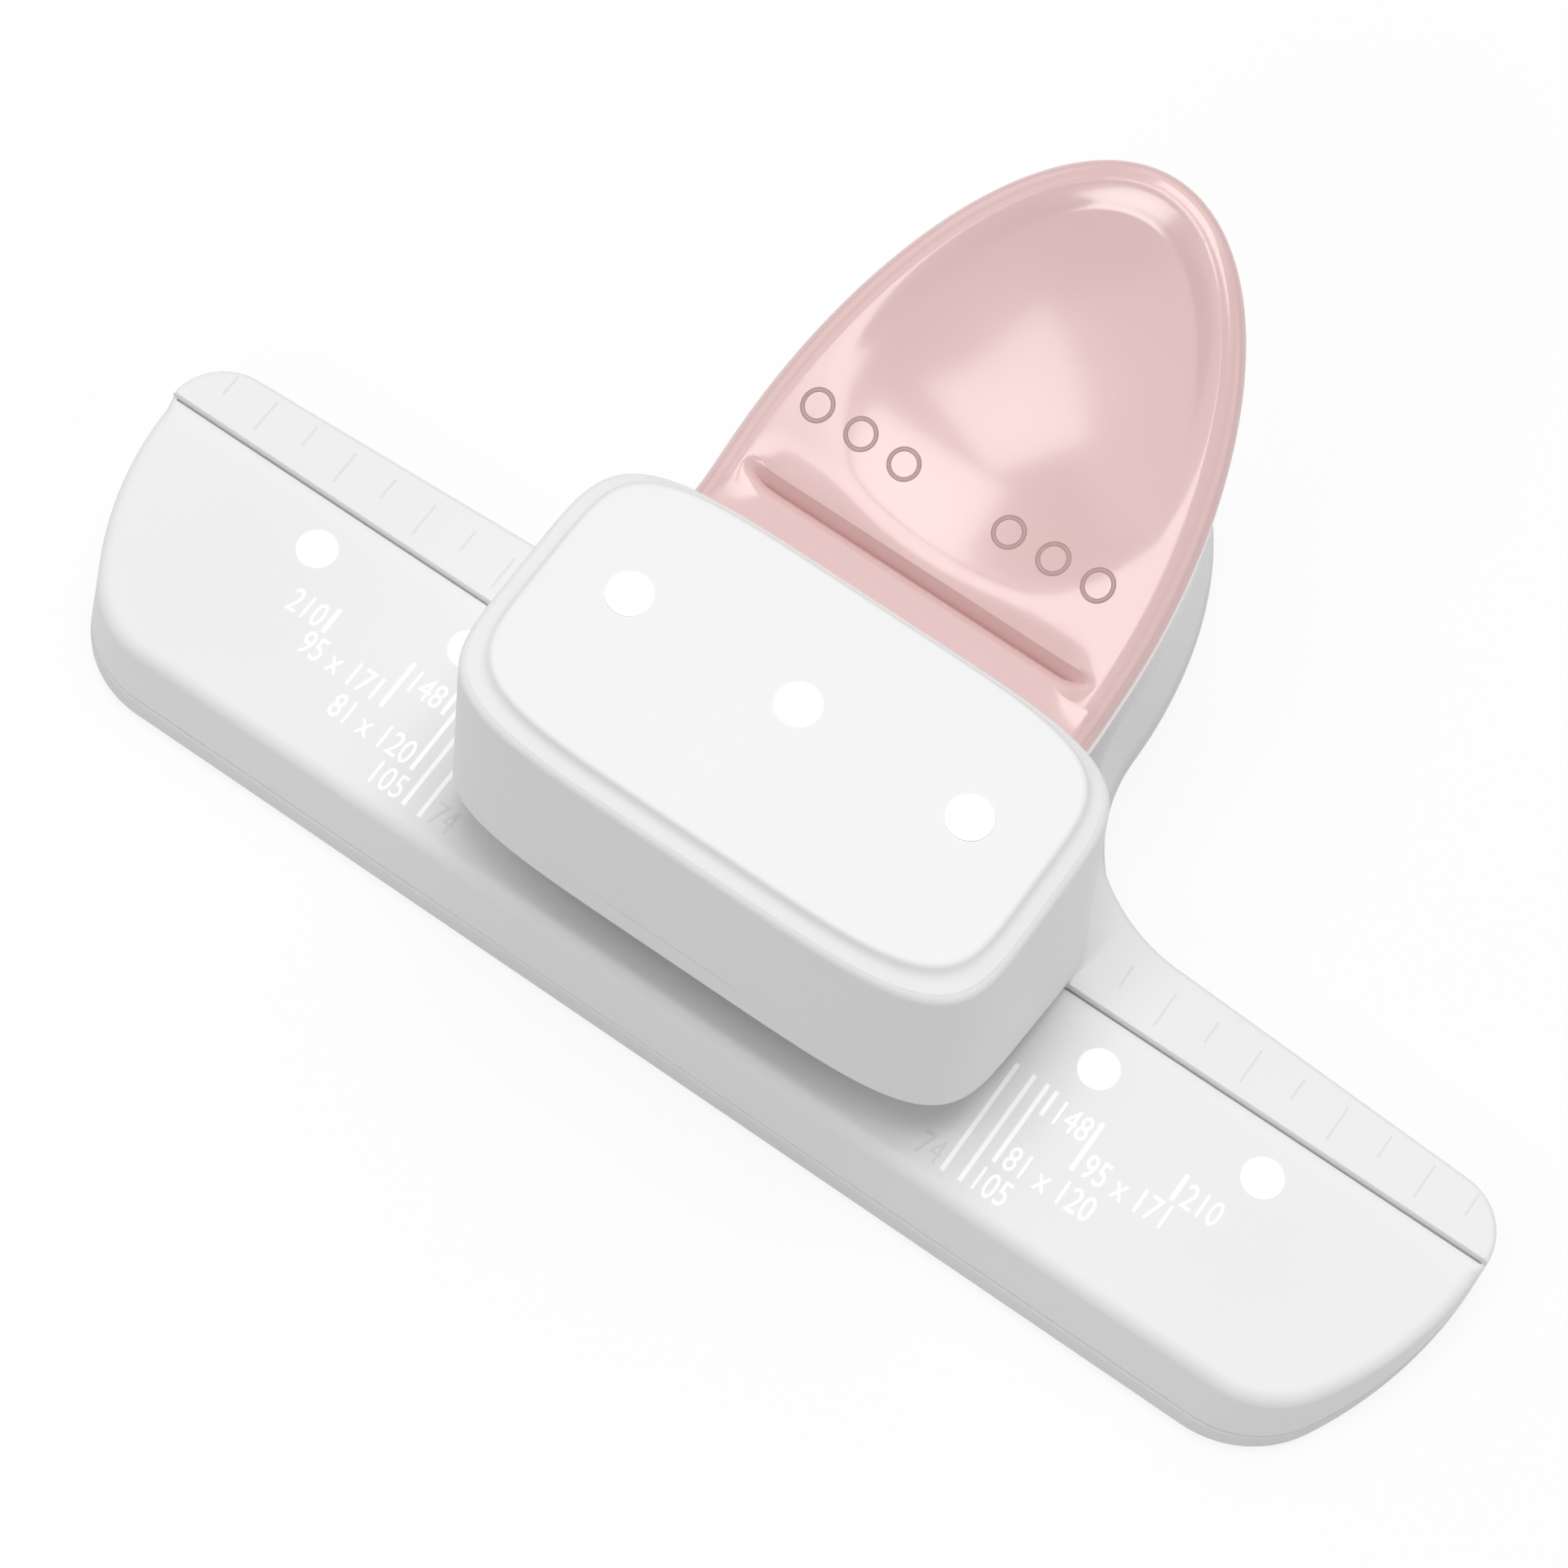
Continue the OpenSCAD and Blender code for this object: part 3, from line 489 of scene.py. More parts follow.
def bottom_moulding():
    rings = []
    for turn in quarter(5):
        cut = FOOT_EDGE_R * (1 - math.sin(turn))
        rings.append(level_ring(BOTTOM_Z + FOOT_EDGE_R * (1 - math.cos(turn)), cut))
    for turn in quarter(3):
        cut = SEAM_EDGE_R * (1 - math.cos(turn))
        rings.append(level_ring(SEAM_Z - SEAM_EDGE_R * (1 - math.sin(turn)), cut))
    shell = skinned("bottom_moulding", rings)
    carve(shell, skinned("cavity", [level_ring(PLATE_Z, WALL), level_ring(SEAM_Z + PAST, WALL)]))
    for spot in mirrored_spots(SCREW_SPOTS):
        carve(shell, post(spot, BOTTOM_Z + PAST / 2, SEAM_Z, PAD_R), "UNION")
    lug_end = TRAY_LUG_X + TRAY_LUG_T
    hinge_y, hinge_z = TRAY_HINGE
    for low, high in ((TRAY_LUG_X, lug_end), (-lug_end, -TRAY_LUG_X)):
        foot = block((low, hinge_y - KNUCKLE_R, BOTTOM_Z), (high, hinge_y + KNUCKLE_R, hinge_z))
        carve(foot, rod_x(low, high, hinge_y, hinge_z, KNUCKLE_R), "UNION")
        carve(shell, foot, "UNION")
    door_front, door_back = TRAY_DOOR_YS
    door = ((-TRAY_LUG_X, door_front), (TRAY_LUG_X, door_back))
    carve(shell, upright_block(door, BOTTOM_Z - PAST, SEAM_Z + 3 * PAST))
    pin_hole_r = TRAY_PIN_R + TRAY_PIN_PLAY
    carve(shell, rod_x(-lug_end - PAST, lug_end + PAST, hinge_y, hinge_z, pin_hole_r))
    for spot in mirrored_spots(SCREW_SPOTS):
        carve(shell, post(spot, BOTTOM_Z - PAST, BOTTOM_Z + SCREW_SINK, SCREW_HEAD_R + SCREW_PLAY))
        carve(shell, post(spot, BOTTOM_Z, SEAM_Z + PAST, SCREW_SHANK_R + SCREW_PLAY))
    for spot in mirrored_spots(FOOT_SPOTS):
        carve(shell, post(spot, BOTTOM_Z - PAST, BOTTOM_Z + FOOT_SINK, FOOT_R + FOOT_PLAY))
    return soften(shell)


# Head: a casing in one piece with the ruler strip, and a lid let into its roof

def mouth_z(y):
    """Underside of the casing, which rises from the fence to the front of the head."""
    if y >= FENCE_Y - 1e-6:
        return DECK_Z
    share = (FENCE_Y - y) / (FENCE_Y - HEAD_MID + HEAD_HALF_W + HEAD_FLARE_W)
    return DECK_Z + MOUTH_BACK + (MOUTH_FRONT - MOUTH_BACK) * share


def casing_column(turn):
    """Closed profile of the casing's wall in one direction: up outside, over the shoulder, down inside."""
    def at(z, inset):
        lean = head_lean(z)
        return head_point(turn, HEAD_HALF_L + lean * HEAD_FLARE_L - inset,
                          HEAD_HALF_W + lean * HEAD_FLARE_W - inset) + (z,)

    def over(half_l, half_w, z):
        return head_point(turn, half_l, half_w) + (z,)

    foot_y = at(DECK_Z, 0)[1]
    low = mouth_z(foot_y)
    behind = foot_y >= FENCE_Y - 1e-6
    column = []
    if behind:
        radius = max(FILLET_LEAST_R, FILLET_R * smooth(FENCE_Y, FILLET_FULL_Y, foot_y))
        foot = radius * (1 - math.sin(math.acos(1 - FILLET_SINK / radius)))
        column += [at(DECK_Z + FILLET_FOOT_STEP * i, -foot) for i in range(3)]
        start = math.asin(1 - FILLET_SINK / radius)
        for i in range(9):
            turn_up = start * (1 - i / 8)
            column.append(at(STRIP_TOP_Z - FILLET_SINK + radius * (1 - math.sin(turn_up)),
                             -radius * (1 - math.cos(turn_up))))
    else:
        for t in quarter(2):
            column.append(at(low + MOUTH_LIP_R * (1 - math.cos(t)), MOUTH_LIP_R * (1 - math.sin(t))))
        column += [at(low + MOUTH_LIP_R + MOUTH_LIP_STEP * (i + 1), 0) for i in range(9)]
    column += [at(z, 0) for z in OUTER_ROWS]
    top = SHOULDER_Z - SHOULDER_R
    for i in range(7):
        t = LIP_TURN * i / 6
        column.append(at(top + SHOULDER_R * math.sin(t), SHOULDER_R * (1 - math.cos(t))))
    seat_l, seat_w = LID_HALF_L + LID_PLAY, LID_HALF_W + LID_PLAY
    open_l, open_w = LID_HALF_L - LID_SEAT_W, LID_HALF_W - LID_SEAT_W
    column += [at(LEDGE_Z, LEDGE_INSET)]
    column += [over(seat_l, seat_w, z) for z in (LEDGE_Z, LID_SEAT_Z)]
    column += [over(open_l, open_w, z) for z in (LID_SEAT_Z, ROOF_Z)]
    column += [at(z, HEAD_WALL) for z in (ROOF_Z,) + INNER_ROWS + (low,)]
    return column


def strip_ring(z, inset, fence_inset):
    half = [(HALF_BASE - inset, FENCE_Y + fence_inset)] + back_half(0, inset)
    return [(x, y, z) for x, y in both_sides(half)]


def ruler_strip():
    rings = [strip_ring(DECK_Z, 0, 0)]
    for turn in quarter(6):
        rise, cut = math.sin(turn) - 1, 1 - math.cos(turn)
        rings.append(strip_ring(STRIP_TOP_Z + STRIP_EDGE_R * rise, STRIP_EDGE_R * cut, FENCE_EDGE_R * cut))
    rings.append(strip_ring(STRIP_TOP_Z, STRIP_EDGE_R + STRIP_FLAT_RIM, FENCE_EDGE_R + FENCE_FLAT_RIM))
    return skinned("ruler_strip", rings)


def head_casing():
    columns = [casing_column(t) for t in head_turns()]
    rings = [list(ring) for ring in zip(*columns)]
    casing = skinned("head_casing", rings, around=True)
    strip = ruler_strip()
    room_l = HEAD_HALF_L + HEAD_FLARE_L - HEAD_WALL + CAVITY_ROOM
    room_w = HEAD_HALF_W + HEAD_FLARE_W - HEAD_WALL + CAVITY_ROOM
    heights = (DECK_Z - PAST, STRIP_TOP_Z + PAST)
    carve(strip, skinned("cavity", [head_ring(room_l, room_w, z) for z in heights]))
    carve(casing, strip, "UNION")
    fence = ((-HEAD_HALF_L, FENCE_Y), (HEAD_HALF_L, FENCE_Y + INNER_FENCE_T))
    carve(casing, upright_block(fence, DECK_Z, DECK_Z + INNER_FENCE_H), "UNION")
    side, low, high = SLOT_HALF - SLOT_R, SLOT_LOW + SLOT_R, SLOT_HIGH - SLOT_R
    corners = [(side, low, 270), (side, high, 0), (-side, high, 90), (-side, low, 180)]
    outline = [p for x, z, start in corners for p in arc((x, z), SLOT_R, start, start + 90, 6)]
    carve(casing, skinned("slot", [[(x, y, z) for x, z in outline] for y in SLOT_YS]))
    return soften(casing)


def lid_panel():
    rings = []
    plug_l, plug_w = LID_HALF_L - LID_PLUG_INSET, LID_HALF_W - LID_PLUG_INSET
    plug_z = LID_SEAT_Z - LID_PLUG_H
    rings += [head_ring(plug_l - LID_PLUG_T, plug_w - LID_PLUG_T, z) for z in (LID_SEAT_Z, plug_z)]
    rings += [head_ring(plug_l, plug_w, z) for z in (plug_z, LID_SEAT_Z)]
    rings.append(head_ring(LID_HALF_L, LID_HALF_W, LID_SEAT_Z))
    edge_z = LID_TOP_Z - LID_CROWN
    half_w = LID_HALF_W + LID_BACKSET
    rim_l = HEAD_HALF_L - LIP_INSET - LID_HALF_L
    rim_w = HEAD_HALF_W - LIP_INSET - half_w
    mid = HEAD_MID + LID_BACKSET

    def flared(share, z, cut=0.0):
        """Ring between the edge of the lid, at 0, and the lip of the casing, at 1."""
        rings.append(head_ring(LID_HALF_L + rim_l * share - cut, half_w + rim_w * share - cut, z,
                               mid - LID_BACKSET * share))

    rings.append(head_ring(LID_HALF_L, LID_HALF_W, LEDGE_Z + LID_BRIM))
    flared(LID_BRIM_REACH, LEDGE_Z + LID_BRIM)
    low, high = LIP_Z + LID_BRIM, edge_z - LID_EDGE_R * (1 - math.cos(LID_TURN))
    for i in range(LEDGE_STEPS + 1):
        climb = i / LEDGE_STEPS
        share = LEDGE_LEAN * climb + (1 - LEDGE_LEAN) * climb ** LEDGE_CURVE
        flared(1 - climb, low + (high - low) * share)
    for i in range(1, 7):
        turn = LID_TURN * (1 - i / 6)
        flared(0.0, edge_z - LID_EDGE_R * (1 - math.cos(turn)),
               LID_EDGE_R * (math.sin(LID_TURN) - math.sin(turn)))
    edge_cut = LID_EDGE_R * math.sin(LID_TURN)
    inner_l, inner_w = LID_HALF_L - edge_cut, half_w - edge_cut
    for share in LID_SHARES:
        rings.append(head_ring(inner_l * share, inner_w * share, edge_z + LID_CROWN * (1 - share ** 4), mid))
    return soften(skinned("lid_panel", rings))


# Lever: a spoon with a rolled rim, a thumb dish and a cross crease behind the head

def lever_line(y):
    """Height of the lever's top line before the dish and the crease are sunk into it."""
    u = max(0.0, (y - RISE_Y) / (LEVER_TIP - RISE_Y))
    return LEVER_FLAT_Z + TIP_RISE * u - 4 * SAG * u * (1 - u)


def rim_near(x, y):
    """How far a point of the lever's plan lies inside its outline, and the y part of the way out."""
    if y <= LEVER_MID:
        return LEVER_HALF - abs(x), 0.0
    reach = LEVER_TIP - LEVER_MID
    q = math.hypot(x / LEVER_HALF, (y - LEVER_MID) / reach)
    across, along = abs(x) / LEVER_HALF ** 2 / q, (y - LEVER_MID) / reach ** 2 / q
    slope = math.hypot(across, along)
    return (1 - q) / slope, along / slope


def crease_depth(y):
    """Cross crease behind the head: the strip rolls down into it, and the spoon's brow stands behind it."""
    if y >= BROW_Y:
        return BROW_DEPTH * max(0.0, 1 - (y - BROW_Y) / BROW_REACH) ** 2
    low = LEVER_FLAT_Z - CREASE_DROP
    if y >= CREASE_Y:
        brow = lever_line(BROW_Y) - BROW_DEPTH
        return lever_line(y) - low - (brow - low) * (y - CREASE_Y) / (BROW_Y - CREASE_Y)
    roll = max(0.0, 1 - (CREASE_Y - y) / CREASE_NEAR)
    return lever_line(y) - LEVER_FLAT_Z + CREASE_DROP * roll ** 3


def bowl_depth(x, y):
    """Bowl for the thumb, which steepens toward its rim and then runs out softly."""
    reach = BOWL_REACH[0] if y < BOWL_Y else BOWL_REACH[1]
    level = 1 - (x / BOWL_HALF) ** 2 - ((y - BOWL_Y) / reach) ** 2
    if level < BOWL_BLEND:
        level = max(0.0, level + BOWL_BLEND) ** 2 / (4 * BOWL_BLEND)
    return BOWL_DEPTH * level


def lever_top(x, y):
    """Top of the spoon: a lifted rim, a pan that follows it, a bowl for the thumb and the cross crease."""
    d, way_y = rim_near(x, y)
    wall = ramp(PAN_FROM, PAN_FROM + PAN_WALL, d, PAN_EASE)
    rim_y = y + (1 - RIM_FOLLOW) * way_y * min(d, PAN_FROM)
    lift = (lever_line(rim_y) - lever_line(y)) * (1 - wall)
    pan = PAN_DEPTH * smooth(*PAN_RANGE, y)
    crease = crease_depth(y) * (1 - smooth(*CREASE_ENDS, abs(x)))
    return lever_line(y) + lift - wall * (pan + bowl_depth(x, y)) - crease


def lever_half_outline():
    """Right side of the lever's plan as points with outward directions, from the root to the tip."""
    sides = [LEVER_ROOT, *LEVER_ROWS] + [CREASE_Y - CREASE_STEP * i for i in range(9, -1, -1)]
    sides += [CREASE_Y + (BROW_Y - CREASE_Y) * i / 3 for i in range(1, 4)]
    sides += [BROW_Y + BROW_STEP, LEVER_MID]
    outline = [(LEVER_HALF, y, 1.0, 0.0) for y in sides]
    reach = LEVER_TIP - LEVER_MID
    for t in quarter(64)[1:]:
        x, y = LEVER_HALF * math.cos(t), LEVER_MID + reach * math.sin(t)
        normal = Vector((math.cos(t) / LEVER_HALF, math.sin(t) / reach)).normalized()
        outline.append((x, y, normal.x, normal.y))
    return outline


def lever_spoon():
    outline = lever_half_outline()
    last = len(outline) - 1

    def under(cut, drop):
        """Level of the lower edge, which draws back to the skin inside the head."""
        return lambda y, ny: (cut, lever_line(y) - (SKIN if y < UNDER_FLAT_Y else drop))

    def rolled(cut, rise):
        """Level of the rolled rim, which follows the slope of the lever part of the way."""
        return lambda y, ny: (cut, lever_line(y - RIM_FOLLOW * cut * ny) + rise)

    levels = [under(cut, EDGE - rise) for cut, rise in UNDER_EDGE]
    levels += [rolled(RIM_R * (1 - math.cos(t)), RIM_R * (math.sin(t) - 1)) for t in quarter(7)]
    points, faces = [], []

    def ring(level):
        """Both sides of one level, from the right root round the tip to the left root."""
        start = len(points)
        right = []
        for x, y, nx, ny in outline:
            inset, z = level(y, ny)
            right.append((x - inset * nx, y - inset * ny, z))
        points.extend(right + [(-x, y, z) for x, y, z in reversed(right[:-1])])
        return start

    count = 2 * last + 1

    def join(low, high):
        for i in range(count - 1):
            faces.append((low + i, low + i + 1, high + i + 1, high + i))

    rings = [ring(level) for level in levels]
    for low, high in zip(rings, rings[1:]):
        join(low, high)

    def span(edge, height):
        """Rows across the lever between the two sides of a ring, closed at the tip."""
        rows = []
        for i in range(last):
            x, y, _ = points[edge + i]
            row = [edge + i]
            for k in range(1, LEVER_ACROSS):
                px = x * math.cos(math.pi * k / LEVER_ACROSS)
                row.append(len(points))
                points.append((px, y, height(px, y)))
            row.append(edge + count - 1 - i)
            rows.append(row)
        for a, b in zip(rows, rows[1:]):
            for k in range(LEVER_ACROSS):
                faces.append((a[k], a[k + 1], b[k + 1], b[k]))
        tip = edge + last
        for k in range(LEVER_ACROSS):
            faces.append((rows[-1][k], rows[-1][k + 1], tip))
        return rows

    inner = ring(rolled(RIM_R + RIM_FLAT, 0.0))
    join(rings[-1], inner)
    top_rows = span(inner, lever_top)
    skirt_low = ring(under(SKIRT, EDGE))
    skirt_high = ring(lambda y, ny: (SKIRT + SKIRT_LEAN, lever_line(y) - SKIN))
    join(skirt_low, rings[0])
    join(skirt_high, skirt_low)
    low_rows = span(skirt_high, lambda x, y: lever_line(y) - SKIN)
    right = [skirt_high, skirt_low] + rings + [inner]
    left = [r + count - 1 for r in right]
    faces.append(tuple(right + top_rows[0][1:-1] + left[::-1] + low_rows[0][1:-1][::-1]))
    return soften(made_mesh("lever_spoon", points, faces))


# Finishes

class Wire:
    """A shader value. Python operators on wires add the Math nodes that work them out."""

    def __init__(self, tree, socket=None):
        self.tree = tree
        self.socket = socket

    def node(self, kind, settings=None, inputs=None, out=0):
        """Any node: its type, its settings, then the values or wires of its sockets."""
        made = self.tree.nodes.new(kind)
        for name, value in (settings or {}).items():
            setattr(made, name, value)
        for key, value in (inputs or {}).items():
            if isinstance(value, Wire):
                self.tree.links.new(value.socket, made.inputs[key])
            elif isinstance(value, list):
                for wire in value:
                    self.tree.links.new(wire.socket, made.inputs[key])
            else:
                made.inputs[key].default_value = value
        return Wire(self.tree, made.outputs[out])

    def port(self, name):
        """Another output of the node that this wire comes from."""
        return Wire(self.tree, self.socket.node.outputs[name])

    def maths(self, operation, first, second):
        return self.node("ShaderNodeMath", {"operation": operation}, {0: first, 1: second})

    def __add__(self, other):
        return self.maths("ADD", self, other)

    __radd__ = __add__

    def __mul__(self, other):
        return self.maths("MULTIPLY", self, other)

    __rmul__ = __mul__

    def __sub__(self, other):
        return self.maths("SUBTRACT", self, other)

    def __rsub__(self, other):
        return self.maths("SUBTRACT", other, self)

    def mixed(self, first, second):
        """Colour between two colours, with this wire as the share of the second."""
        return self.node("ShaderNodeMix", {"data_type": "RGBA"}, {0: self, 6: first, 7: second}, out=2)


DRIFT_SCALE = 45.0
GRAIN_SCALE = 2600.0
CLOUD_SCALE = 160.0
COVER_SCALE = 900.0
BUMP_REACH = 0.00002
MARK_BUMP = 0.12


def finish(name, dress, **constants):
    """Material with constants on the shader's own sockets and the wires that dress returns."""
    material = bpy.data.materials.new(name)
    material.use_nodes = True
    tree = material.node_tree
    shader = tree.nodes["Principled BSDF"]
    for socket, value in constants.items():
        shader.inputs[socket.replace("_", " ")].default_value = value
    for socket, wire in dress(Wire(tree)).items():
        tree.links.new(wire.socket, shader.inputs[socket])
    return material


def noise(wire, place, scale, detail=2.0):
    return wire.node("ShaderNodeTexNoise", None, {"Vector": place, "Scale": scale, "Detail": detail})


def object_place(wire):
    return wire.node("ShaderNodeTexCoord", out=3)


def bumped(wire, height, strength):
    return wire.node("ShaderNodeBump", None,
                     {"Strength": strength, "Distance": BUMP_REACH, "Height": height})


def moulded(name, pale, deep, rough, grain, **constants):
    """Moulded plastic: slightly uneven colour, satin roughness that drifts and a fine grain."""
    def dress(wire):
        place = object_place(wire)
        drift = noise(wire, place, DRIFT_SCALE)
        fine = noise(wire, place, GRAIN_SCALE, 3.0)
        return {
            "Base Color": drift.mixed(deep, pale),
            "Roughness": rough + 0.10 * (drift - 0.5) + 0.06 * (fine - 0.5),
            "Normal": bumped(wire, fine, grain),
        }
    return finish(name, dress, **constants)


def plated(name, pale, deep, rough, stretch):
    """Plated or drawn steel, with fine marks along one direction."""
    def dress(wire):
        place = object_place(wire)
        along = wire.node("ShaderNodeMapping", None, {"Vector": place, "Scale": stretch})
        marks = noise(wire, along, 1.0, 3.0)
        cloud = noise(wire, place, CLOUD_SCALE)
        return {
            "Base Color": cloud.mixed(deep, pale),
            "Roughness": rough + 0.18 * (marks - 0.5) + 0.08 * (cloud - 0.5),
            "Normal": bumped(wire, marks, MARK_BUMP),
        }
    return finish(name, dress, Metallic=1.0)


def printed(name, ink, worn, **constants):
    """Pad-printed ink with slightly uneven cover."""
    def dress(wire):
        cover = noise(wire, object_place(wire), COVER_SCALE, 3.0)
        return {"Base Color": cover.mixed(worn, ink), "Roughness": 0.45 + 0.1 * (cover - 0.5)}
    return finish(name, dress, **constants)


white_plastic = moulded("white_plastic", (0.87, 0.87, 0.87, 1), (0.845, 0.845, 0.847, 1), 0.5, 0.08,
                        Specular_IOR_Level=0.4)
bottom_plastic = moulded("bottom_plastic", (0.80, 0.80, 0.80, 1), (0.77, 0.77, 0.772, 1), 0.55, 0.12,
                         Specular_IOR_Level=0.4)
pink_plastic = moulded("pink_plastic", (0.765, 0.537, 0.525, 1), (0.74, 0.513, 0.502, 1), 0.16, 0.02,
                       Coat_Weight=0.4, Coat_Roughness=0.08)
tray_plastic = moulded("tray_plastic", (0.80, 0.80, 0.79, 1), (0.76, 0.76, 0.755, 1), 0.55, 0.35)
foot_rubber = moulded("foot_rubber", (0.075, 0.075, 0.078, 1), (0.055, 0.055, 0.057, 1), 0.78, 0.6)
bright_steel = plated("bright_steel", (0.74, 0.75, 0.77, 1), (0.66, 0.67, 0.69, 1), 0.26, (180, 3200, 3200))
pin_steel = plated("pin_steel", (0.76, 0.77, 0.79, 1), (0.70, 0.71, 0.73, 1), 0.2, (3200, 3200, 160))
spring_wire = plated("spring_wire", (0.52, 0.53, 0.55, 1), (0.44, 0.45, 0.47, 1), 0.32, (2400, 2400, 2400))
# The white prints also glow faintly (Emission Strength 0.1): a painted glow that keeps them bright where the
# deck lies in shade.
white_ink = printed("white_ink", (0.985, 0.985, 0.985, 1), (0.96, 0.96, 0.96, 1),
                    Emission_Color=(1.0, 1.0, 1.0, 1), Emission_Strength=0.1)
# Grey ink: print for the ruler ticks, and painted shade on the inner numbers that lie under the head.
grey_ink = printed("grey_ink", (0.74, 0.74, 0.745, 1), (0.79, 0.79, 0.795, 1))
brown_ink = printed("brown_ink", (0.46, 0.31, 0.30, 1), (0.52, 0.36, 0.35, 1))


def settle(made, material, slot, body, *nodes):
    """Gives a piece its finish, the body that carries it and the solids that it stands for. The slot is not
    used.
    """
    made.data.materials.clear()
    made.data.materials.append(material)
    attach(made, body)
    if nodes:
        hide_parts(*nodes)
    return made


settle(deck_moulding(), white_plastic, "shell_white", "body", "base_shell")
settle(bottom_moulding(), bottom_plastic, "shell_white", "body", "base_cover")
settle(head_casing(), white_plastic, "shell_white", "body", "head_cover")
settle(lid_panel(), white_plastic, "shell_white", "body", "head_lid")
spoon = settle(lever_spoon(), pink_plastic, "lever_pink", "lever", "lever_cover")


# Pieces that repeat, wind or lie on a surface, each grown by its own Geometry Nodes tree

def grown(name, spots, shape, material, lengths=None, **sizes):
    """Piece grown on a few spots: shape adds the tree's own nodes, sizes are its named inputs in metres."""
    group = bpy.data.node_groups.new(name, "GeometryNodeTree")
    ports = group.interface
    ports.new_socket("Spots", in_out="INPUT", socket_type="NodeSocketGeometry")
    keys = {size: ports.new_socket(size, in_out="INPUT", socket_type="NodeSocketFloat").identifier
            for size in sizes}
    ports.new_socket("Piece", in_out="OUTPUT", socket_type="NodeSocketGeometry")
    given = {port.name: Wire(group, port) for port in group.nodes.new("NodeGroupInput").outputs}
    piece = shape(Wire(group), given)
    piece = piece.node("GeometryNodeRealizeInstances", None, {0: piece})
    piece = piece.node("GeometryNodeSetMaterial", None, {"Geometry": piece, "Material": material})
    group.links.new(piece.socket, group.nodes.new("NodeGroupOutput").inputs[0])
    mesh = bpy.data.meshes.new(name)
    mesh.from_pydata([placed(spot) for spot in spots], [], [])
    if lengths:
        mesh.attributes.new("length", "FLOAT", "POINT").data.foreach_set("value", lengths)
    made = shown(name, mesh)
    step = made.modifiers.new(name, "NODES")
    step.node_group = group
    for size, value in sizes.items():
        step[keys[size]] = value
    bake(made)
    work = bmesh.new()
    work.from_mesh(made.data)
    bmesh.ops.recalc_face_normals(work, faces=work.faces)
    work.to_mesh(made.data)
    work.free()
    return made


def vector(wire, x=0.0, y=0.0, z=0.0):
    return wire.node("ShaderNodeCombineXYZ", None, {"X": x, "Y": y, "Z": z})


def moved(wire, shape, z):
    return wire.node("GeometryNodeTransform", None, {"Geometry": shape, "Translation": vector(wire, z=z)})


def cylinder(wire, radius, depth, sides=48):
    """Upright cylinder with its foot at the origin."""
    made = wire.node("GeometryNodeMeshCylinder", None, {"Vertices": sides, "Radius": radius, "Depth": depth})
    return moved(wire, made, 0.5 * depth)


def on_spots(wire, given, shape, **more):
    inputs = {"Points": given["Spots"], "Instance": shape, **more}
    return wire.node("GeometryNodeInstanceOnPoints", None, inputs)


def joined(wire, *shapes):
    return wire.node("GeometryNodeJoinGeometry", None, {0: list(shapes)})


def circle(wire, radius, sides):
    return wire.node("GeometryNodeCurvePrimitiveCircle", None, {"Resolution": sides, "Radius": radius})


def coil(wire, given):
    """Compression spring: open turns with a closed turn at each end."""
    profile = circle(wire, given["Wire radius"], 14)

    def turns(count, height):
        line = wire.node("GeometryNodeCurveSpiral", None, {
            "Resolution": 36, "Rotations": count, "Height": height,
            "Start Radius": given["Coil radius"], "End Radius": given["Coil radius"]})
        return wire.node("GeometryNodeCurveToMesh", None,
                         {"Curve": line, "Profile Curve": profile, "Fill Caps": True})

    closed = turns(1.0, given["Closed rise"])
    opened = moved(wire, turns(given["Open turns"], given["Open rise"]), given["Closed rise"])
    last = moved(wire, closed, given["Closed rise"] + given["Open rise"])
    return on_spots(wire, given, joined(wire, closed, opened, last))


def cross_screw(wire, given):
    """Screw whose head hangs below its spot, with a bevelled rim and a cross recess."""
    radius, head = given["Head radius"], given["Head height"]
    rim = wire.node("GeometryNodeMeshCone", None, {
        "Vertices": 48, "Radius Top": radius, "Radius Bottom": 0.82 * radius, "Depth": 0.35 * head})
    rim = moved(wire, rim, -1.0 * head)
    body = moved(wire, cylinder(wire, radius, 0.65 * head), -0.65 * head)
    arms = []
    for long, wide in ((1.2, 0.32), (0.32, 1.2)):
        size = vector(wire, long * radius, wide * radius, 1.2 * head)
        arms.append(moved(wire, wire.node("GeometryNodeMeshCube", None, {"Size": size}), -1.0 * head))
    heads = [wire.node("GeometryNodeMeshBoolean", {"operation": "DIFFERENCE", "solver": "EXACT"},
                       {"Mesh 1": part, "Mesh 2": arms}) for part in (rim, body)]
    shank = cylinder(wire, given["Shank radius"], given["Shank length"], 32)
    return on_spots(wire, given, joined(wire, shank, *heads))


def foot_pad(wire, given):
    """Round pad with a bevelled lower rim."""
    radius, bevel = given["Radius"], given["Bevel"]
    rim = wire.node("GeometryNodeMeshCone", None, {
        "Vertices": 64, "Radius Top": radius, "Radius Bottom": radius - bevel, "Depth": bevel})
    body = moved(wire, cylinder(wire, radius, given["Height"] - bevel, 64), bevel)
    return on_spots(wire, given, joined(wire, rim, body))


def dot(wire, given):
    return on_spots(wire, given, cylinder(wire, given["Radius"], given["Thickness"], 64))


def bar(wire, given):
    """Printed line along y, as long as its spot's own length says."""
    size = vector(wire, given["Width"], 1.0, given["Thickness"])
    cube = wire.node("GeometryNodeMeshCube", None, {"Size": size})
    length = wire.node("GeometryNodeInputNamedAttribute", None, {"Name": "length"})
    return on_spots(wire, given, cube, Scale=vector(wire, 1.0, length, 1.0))


RAY_FROM = 0.2


